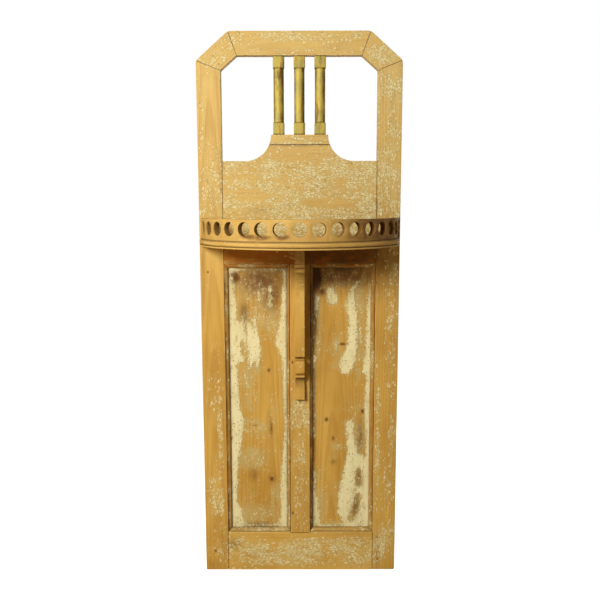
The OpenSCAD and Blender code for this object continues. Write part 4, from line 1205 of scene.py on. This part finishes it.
class HALLPANEL_OT_panels(bpy.types.Operator):
    """Two panels with flaking cream paint"""
    bl_idname = "hall_panel.panels"
    bl_label = "Panels"

    def execute(self, context):
        painted_panel(context, -1, (LEFT_COLUMN, LEFT_RIGHT_COLUMN, LEFT_PATCHES, LEFT_BARE), LEFT_VEILS,
                      LEFT_STAINS_AND_SHADE, LEFT_KNOTS, 61)
        painted_panel(context, 1, (RIGHT_COLUMN, RIGHT_RIGHT_COLUMN, RIGHT_PATCHES, RIGHT_BARE), RIGHT_VEILS,
                      RIGHT_STAINS_AND_SHADOW, RIGHT_KNOTS_AND_SHADOW, 63)
        return {"FINISHED"}


def moulding(name, node, start, end, inward, width, first, last, dark, seed, material):
    """A moulding round a panel. Its profile, as distance from the frame by height over the panel, is a narrow
    quirk, a flat and a quarter round; it is carried along the frame's edge, and each point starts and ends
    later in proportion to its distance from the edge, which mitres the ends to the neighbours' widths first
    and last. The quirk and the foot of the round are darkened with dirt and painted shade, and the face is
    painted shade up to the distance dark from the frame, on the sides of the panels that lie in shade."""
    turn = np.linspace(0, math.pi / 2, 7)
    flat_end = width - BEAD_ROUND
    across = np.r_[0, 0.2 * MM, QUIRK_W, QUIRK_W + 0.4 * MM, np.linspace(QUIRK_W + 1 * MM, flat_end, 3),
                   flat_end + BEAD_ROUND * np.sin(turn[1:]), width, width * 0.5, 0]
    quirk = BEAD_H - QUIRK_DEEP
    tall = np.r_[quirk - 0.2 * MM, quirk, quirk, BEAD_H - 0.4 * MM, np.full(3, BEAD_H),
                 BEAD_H - BEAD_ROUND + BEAD_ROUND * np.cos(turn[1:]), np.full(3, -0.3 * MM)]
    # Darkened rows: dirt and painted shade in the quirk and under the round, and painted shade on the face up
    # to the distance dark.
    darkened = np.maximum(np.r_[1, 1, 1, 0.6, np.zeros(3), np.linspace(0, 0.5, 6), 1, 1, 1],
                       np.clip((dark - across) / (1 * MM), 0, 1))
    arris = np.r_[0, 0, 0, 1, 0.6, 0, 0, 0, 0.3, 0.5, 0.3, 0, 0, 0, 0, 0]
    start, end, inward = (np.array(v, float) for v in (start, end, inward))
    length = np.hypot(*(end - start))
    share = np.linspace(0, 1, max(6, int(length / 0.012)))
    first_at = across * first / width
    along = first_at[None, :] + share[:, None] * (length - first_at - across * last / width)[None, :]
    flat = start + along[..., None] * (end - start) / length + across[None, :, None] * inward
    wander = 0.15 * MM * fractal(along, np.broadcast_to(across * 30, along.shape), 0.05, seed)
    y = PANEL_Y - np.maximum(tall, -0.3 * MM)[None, :] - wander * (tall > 5 * MM)
    sections = np.stack([flat[..., 0], np.maximum(y, FRONT_Y + 0.1 * MM), flat[..., 1]], -1)
    grime_and_shade = np.clip(darkened[None, :] * (0.8 + 0.4 * fractal(along, along * 0, 0.04, seed + 3)), 0, 1)
    left_over = np.clip(0.25 + 0.6 * fractal(along, along * 0, 0.07, seed + 5), 0, 1)
    piece = closed_loft(name, sections, {"grime_and_shade": grime_and_shade, "arris": np.broadcast_to(arris, grime_and_shade.shape).copy(),
                                         "old_paint": left_over})
    finish_piece(piece, material, "brown_pine", node)


class HALLPANEL_OT_mouldings(bpy.types.Operator):
    """Brown pine mouldings round the panels, mitred at the corners"""
    bl_idname = "hall_panel.mouldings"
    bl_label = "Mouldings"

    def execute(self, context):
        look = finish_of(context)
        upright = pine("upright_moulding_pine", look, 71, brown=0.40, period=0.005, varnish=0.35)
        level = pine("level_moulding_pine", look, 73, SIDEWAYS, brown=0.35, period=0.005)
        under = pine("top_moulding_pine", look, 79, SIDEWAYS, brown=0.55, period=0.005, varnish=0.8)
        foot, head = BOTTOM_RAIL_Z, MIDDLE_RAIL_Z
        for side, word in ((-1, "left"), (1, "right")):
            muntin, stile = side * MUNTIN_HALF, side * INNER_X
            # How far from the frame the face is painted shade: wider on each panel's left side, which lies in
            # shade.
            by_muntin, by_stile = (2.5 * MM, 6.5 * MM) if side < 0 else (9 * MM, 2.5 * MM)
            plans = (
                ("bottom", (muntin, foot), (stile, foot), (0, 1),
                 BEAD_W, MUNTIN_BEAD_W, BEAD_W, 3 * MM, level),
                ("top", (muntin, head), (stile, head), (0, -1),
                 BEAD_W, MUNTIN_BEAD_W, BEAD_W, 2 * MM, under),
                ("muntin", (muntin, foot), (muntin, head), (side, 0),
                 MUNTIN_BEAD_W, BEAD_W, BEAD_W, by_muntin, upright),
                ("stile", (stile, foot), (stile, head), (-side, 0),
                 BEAD_W, BEAD_W, BEAD_W, by_stile, upright),
            )
            for k, (edge, start, end, inward, width, first, last, dark, material) in enumerate(plans):
                node = f"{word}_{edge}_moulding"
                moulding(node + "_worn", node, start, end, inward, width, first, last, dark,
                         75 + 5 * k + side, material)
        return {"FINISHED"}


# ---- Shelf, gallery and console ----

class HALLPANEL_OT_shelf(bpy.types.Operator):
    """Shelf board with a moulded edge, and the pierced gallery on it"""
    bl_idname = "hall_panel.shelf"
    bl_label = "Shelf and gallery"

    def execute(self, context):
        look, wear = finish_of(context), wear_of(context)
        under = low("shelf_board")[2]
        # Painted shade in the groove under the edge and along the top edge.
        groove = [(under + 4.6 * MM, under + 6.6 * MM, 1.0), (SHELF_Z - 2.6 * MM, SHELF_Z + 0.5 * MM, 0.7)]
        edge = pine("shelf_pine", look, 81, unrolled=True, turn=SIDEWAYS, off=-1.13, period=0.006,
                    scatter=0.1, bands=groove, rings=0.15)
        dress_node("shelf_board", edge, wear.edge_softness)
        smear = [((x, 0.0, SHELF_Z + 15 * MM), (0.035, 0.05, 0.010)) for x in (-0.16, -0.11, -0.05)]
        # Painted shade in the crease at the gallery's foot.
        foot = [(SHELF_Z - 1 * MM, SHELF_Z + 1.5 * MM, 0.9)]
        left = pine("gallery_left_pine", look, 83, SIDEWAYS, unrolled=True, off=-1.18, period=0.012,
                    depth=0.05, brown=0.12, stains_and_shade=smear, bands=foot, rings=0.12, hollow=0.75, scatter=0.04)
        # The right gallery is a shaded copy of the left: its brown over the right of the arc is painted
        # shade.
        right = pine("gallery_right_shaded_pine", look, 87, SIDEWAYS, unrolled=True, off=-1.18, period=0.012,
                     depth=0.05, brown=0.75, bands=foot, rings=0.12, shade_from=(0.02, 0.24), hollow=0.75)
        dress_node("gallery_left", left, wear.edge_softness)
        dress_node("gallery_right", right, wear.edge_softness)
        return {"FINISHED"}


class HALLPANEL_OT_console(bpy.types.Operator):
    """Console under the shelf, with softened edges"""
    bl_idname = "hall_panel.console"
    bl_label = "Console"

    def execute(self, context):
        look, wear = finish_of(context), wear_of(context)
        head, foot = high("console")[2], low("console")[2]
        # Painted shade: lines under the head's nose, in the notch and quirk, the nose's shadow under the low
        # cove, a line at the foot, and the shelf's shadow over the top.
        dark = [(head - 0.070, head - 0.065, 0.6), (head - 0.374, head - 0.364, 0.6),
                (head - 0.427, head - 0.423, 0.35), (head - 0.458, head - 0.434, 0.95),
                (foot, foot + 0.002, 0.7), (head - 0.090, head + 0.02, 0.6)]
        wood = pine("console_pine", look, 91, off=0.01, depth=0.17, tilt=0.03, period=0.006, scatter=0.08,
                    bands=dark)
        dress_node("console", wood, wear.edge_softness)
        return {"FINISHED"}


class HALLPANEL_OT_fixings(bpy.types.Operator):
    """Hanger plates, screws and pins of dull steel, and the dowels"""
    bl_idname = "hall_panel.fixings"
    bl_label = "Fixings"

    def execute(self, context):
        look = finish_of(context)
        steel = old_steel("dull_steel", look)
        for node in ("left_hanger", "right_hanger", "hanger_screws", "shelf_screws", "console_back_screws",
                     "console_top_screws", "gallery_screws", "moulding_pins"):
            dress_node(node, steel, 0.15 * MM if "hanger" in node and "screws" not in node else 0.0)
        beech = pine("dowel_beech", look, 95, period=0.003)
        for node in ("corner_dowels", "sill_dowels", "gallery_dowel"):
            dress_node(node, beech)
        return {"FINISHED"}


# ---- Stage ----

def area_light(name, at, target, width, height, power, tint):
    """A soft rectangular light, itself unseen, that points at the target."""
    data = bpy.data.lights.new(name, "AREA")
    data.shape = "RECTANGLE"
    data.size, data.size_y = width, height
    data.energy = power
    data.color = tint
    lamp = bpy.data.objects.new(name, data)
    bpy.context.scene.collection.objects.link(lamp)
    lamp.visible_camera = False
    lamp.location = at
    away = np.array(at) - np.array(target)
    level = math.hypot(away[0], away[1])
    lamp.rotation_euler = (math.pi / 2 - math.atan2(away[2], level), 0, math.atan2(away[0], -away[1]))


class HALLPANEL_OT_stage(bpy.types.Operator):
    """Pale floor, soft studio light and the camera"""
    bl_idname = "hall_panel.stage"
    bl_label = "Stage"

    def execute(self, context):
        scene = context.scene
        scene.view_settings.view_transform = "Standard"
        scene.view_settings.look = "None"
        world = bpy.data.worlds.new("studio")
        scene.world = world
        world.use_nodes = True
        tree = world.node_tree
        tree.nodes.clear()
        seen, fill = tree.nodes.new("ShaderNodeBackground"), tree.nodes.new("ShaderNodeBackground")
        seen.inputs["Color"].default_value = (1, 1, 1, 1)
        fill.inputs["Color"].default_value = (1.0, 0.70, 0.30, 1)
        fill.inputs["Strength"].default_value = 0.07
        rays, mix = tree.nodes.new("ShaderNodeLightPath"), tree.nodes.new("ShaderNodeMixShader")
        out = tree.nodes.new("ShaderNodeOutputWorld")
        tree.links.new(rays.outputs["Is Camera Ray"], mix.inputs[0])
        tree.links.new(fill.outputs[0], mix.inputs[1])
        tree.links.new(seen.outputs[0], mix.inputs[2])
        tree.links.new(mix.outputs[0], out.inputs[0])
        floor_material, floor_tree, floor_shader = new_material("pale_floor")
        floor_shader.inputs["Base Color"].default_value = (0.5, 0.43, 0.32, 1)
        floor_shader.inputs["Roughness"].default_value = 1.0
        floor_shader.inputs["Emission Color"].default_value = (1, 1, 1, 1)
        seen_only = floor_tree.nodes.new("ShaderNodeLightPath")
        floor_tree.links.new(seen_only.outputs["Is Camera Ray"], floor_shader.inputs["Emission Strength"])
        turn = np.linspace(0, 2 * math.pi, 65)[:-1]
        reach = np.array([0.5, 6.0, 40.0])
        ring = np.stack([reach[:, None] * np.cos(turn), reach[:, None] * np.sin(turn),
                         np.full((3, 64), FLOOR_Z)], -1)
        floor = closed_loft("floor", np.concatenate([ring, ring[::-1] - np.array([0, 0, 0.02])]))
        floor.data.materials.append(floor_material)
        for name, at, width, height, power, tint in LIGHTS:
            area_light(name, at, AIM, width, height, power, tint)
        data = bpy.data.cameras.new("camera")
        data.lens = CAMERA_LENS
        data.sensor_width = 36
        camera = bpy.data.objects.new("camera", data)
        scene.collection.objects.link(camera)
        camera.location = CAMERA_AT
        camera.rotation_euler = (math.pi / 2 - CAMERA_DOWN, CAMERA_TILT, 0)
        scene.camera = camera
        return {"FINISHED"}


OPERATORS = (
    HALLPANEL_OT_stage, HALLPANEL_OT_stiles, HALLPANEL_OT_top, HALLPANEL_OT_rails, HALLPANEL_OT_splat,
    HALLPANEL_OT_spindles, HALLPANEL_OT_panels, HALLPANEL_OT_mouldings, HALLPANEL_OT_shelf,
    HALLPANEL_OT_console, HALLPANEL_OT_fixings,
)


class HALLPANEL_PT_pieces(bpy.types.Panel):
    """The pieces in the order in which they are made"""
    bl_label = "Hall Panel"
    bl_idname = "HALLPANEL_PT_pieces"
    bl_space_type = "VIEW_3D"
    bl_region_type = "UI"
    bl_category = "Hall Panel"

    def draw(self, context):
        layout = self.layout
        for group in (finish_of(context), wear_of(context)):
            box = layout.box()
            for key in group.bl_rna.properties.keys():
                if key not in ("rna_type", "name"):
                    box.prop(group, key)
        for operator in OPERATORS:
            layout.operator(operator.bl_idname)


CLASSES = (HallPanelFinish, HallPanelWear, *OPERATORS, HALLPANEL_PT_pieces)


def register():
    """Registers the classes and puts the settings on the scene."""
    for each in CLASSES:
        bpy.utils.register_class(each)
    bpy.types.Scene.hall_panel_finish = PointerProperty(type=HallPanelFinish)
    bpy.types.Scene.hall_panel_wear = PointerProperty(type=HallPanelWear)


def unregister():
    """Takes the settings and classes away."""
    del bpy.types.Scene.hall_panel_finish
    del bpy.types.Scene.hall_panel_wear
    for each in reversed(CLASSES):
        bpy.utils.unregister_class(each)


def main():
    """Makes every piece in order."""
    register()
    for operator in OPERATORS:
        group, name = operator.bl_idname.split(".")
        getattr(getattr(bpy.ops, group), name)()


if __name__ == "__main__":
    main()
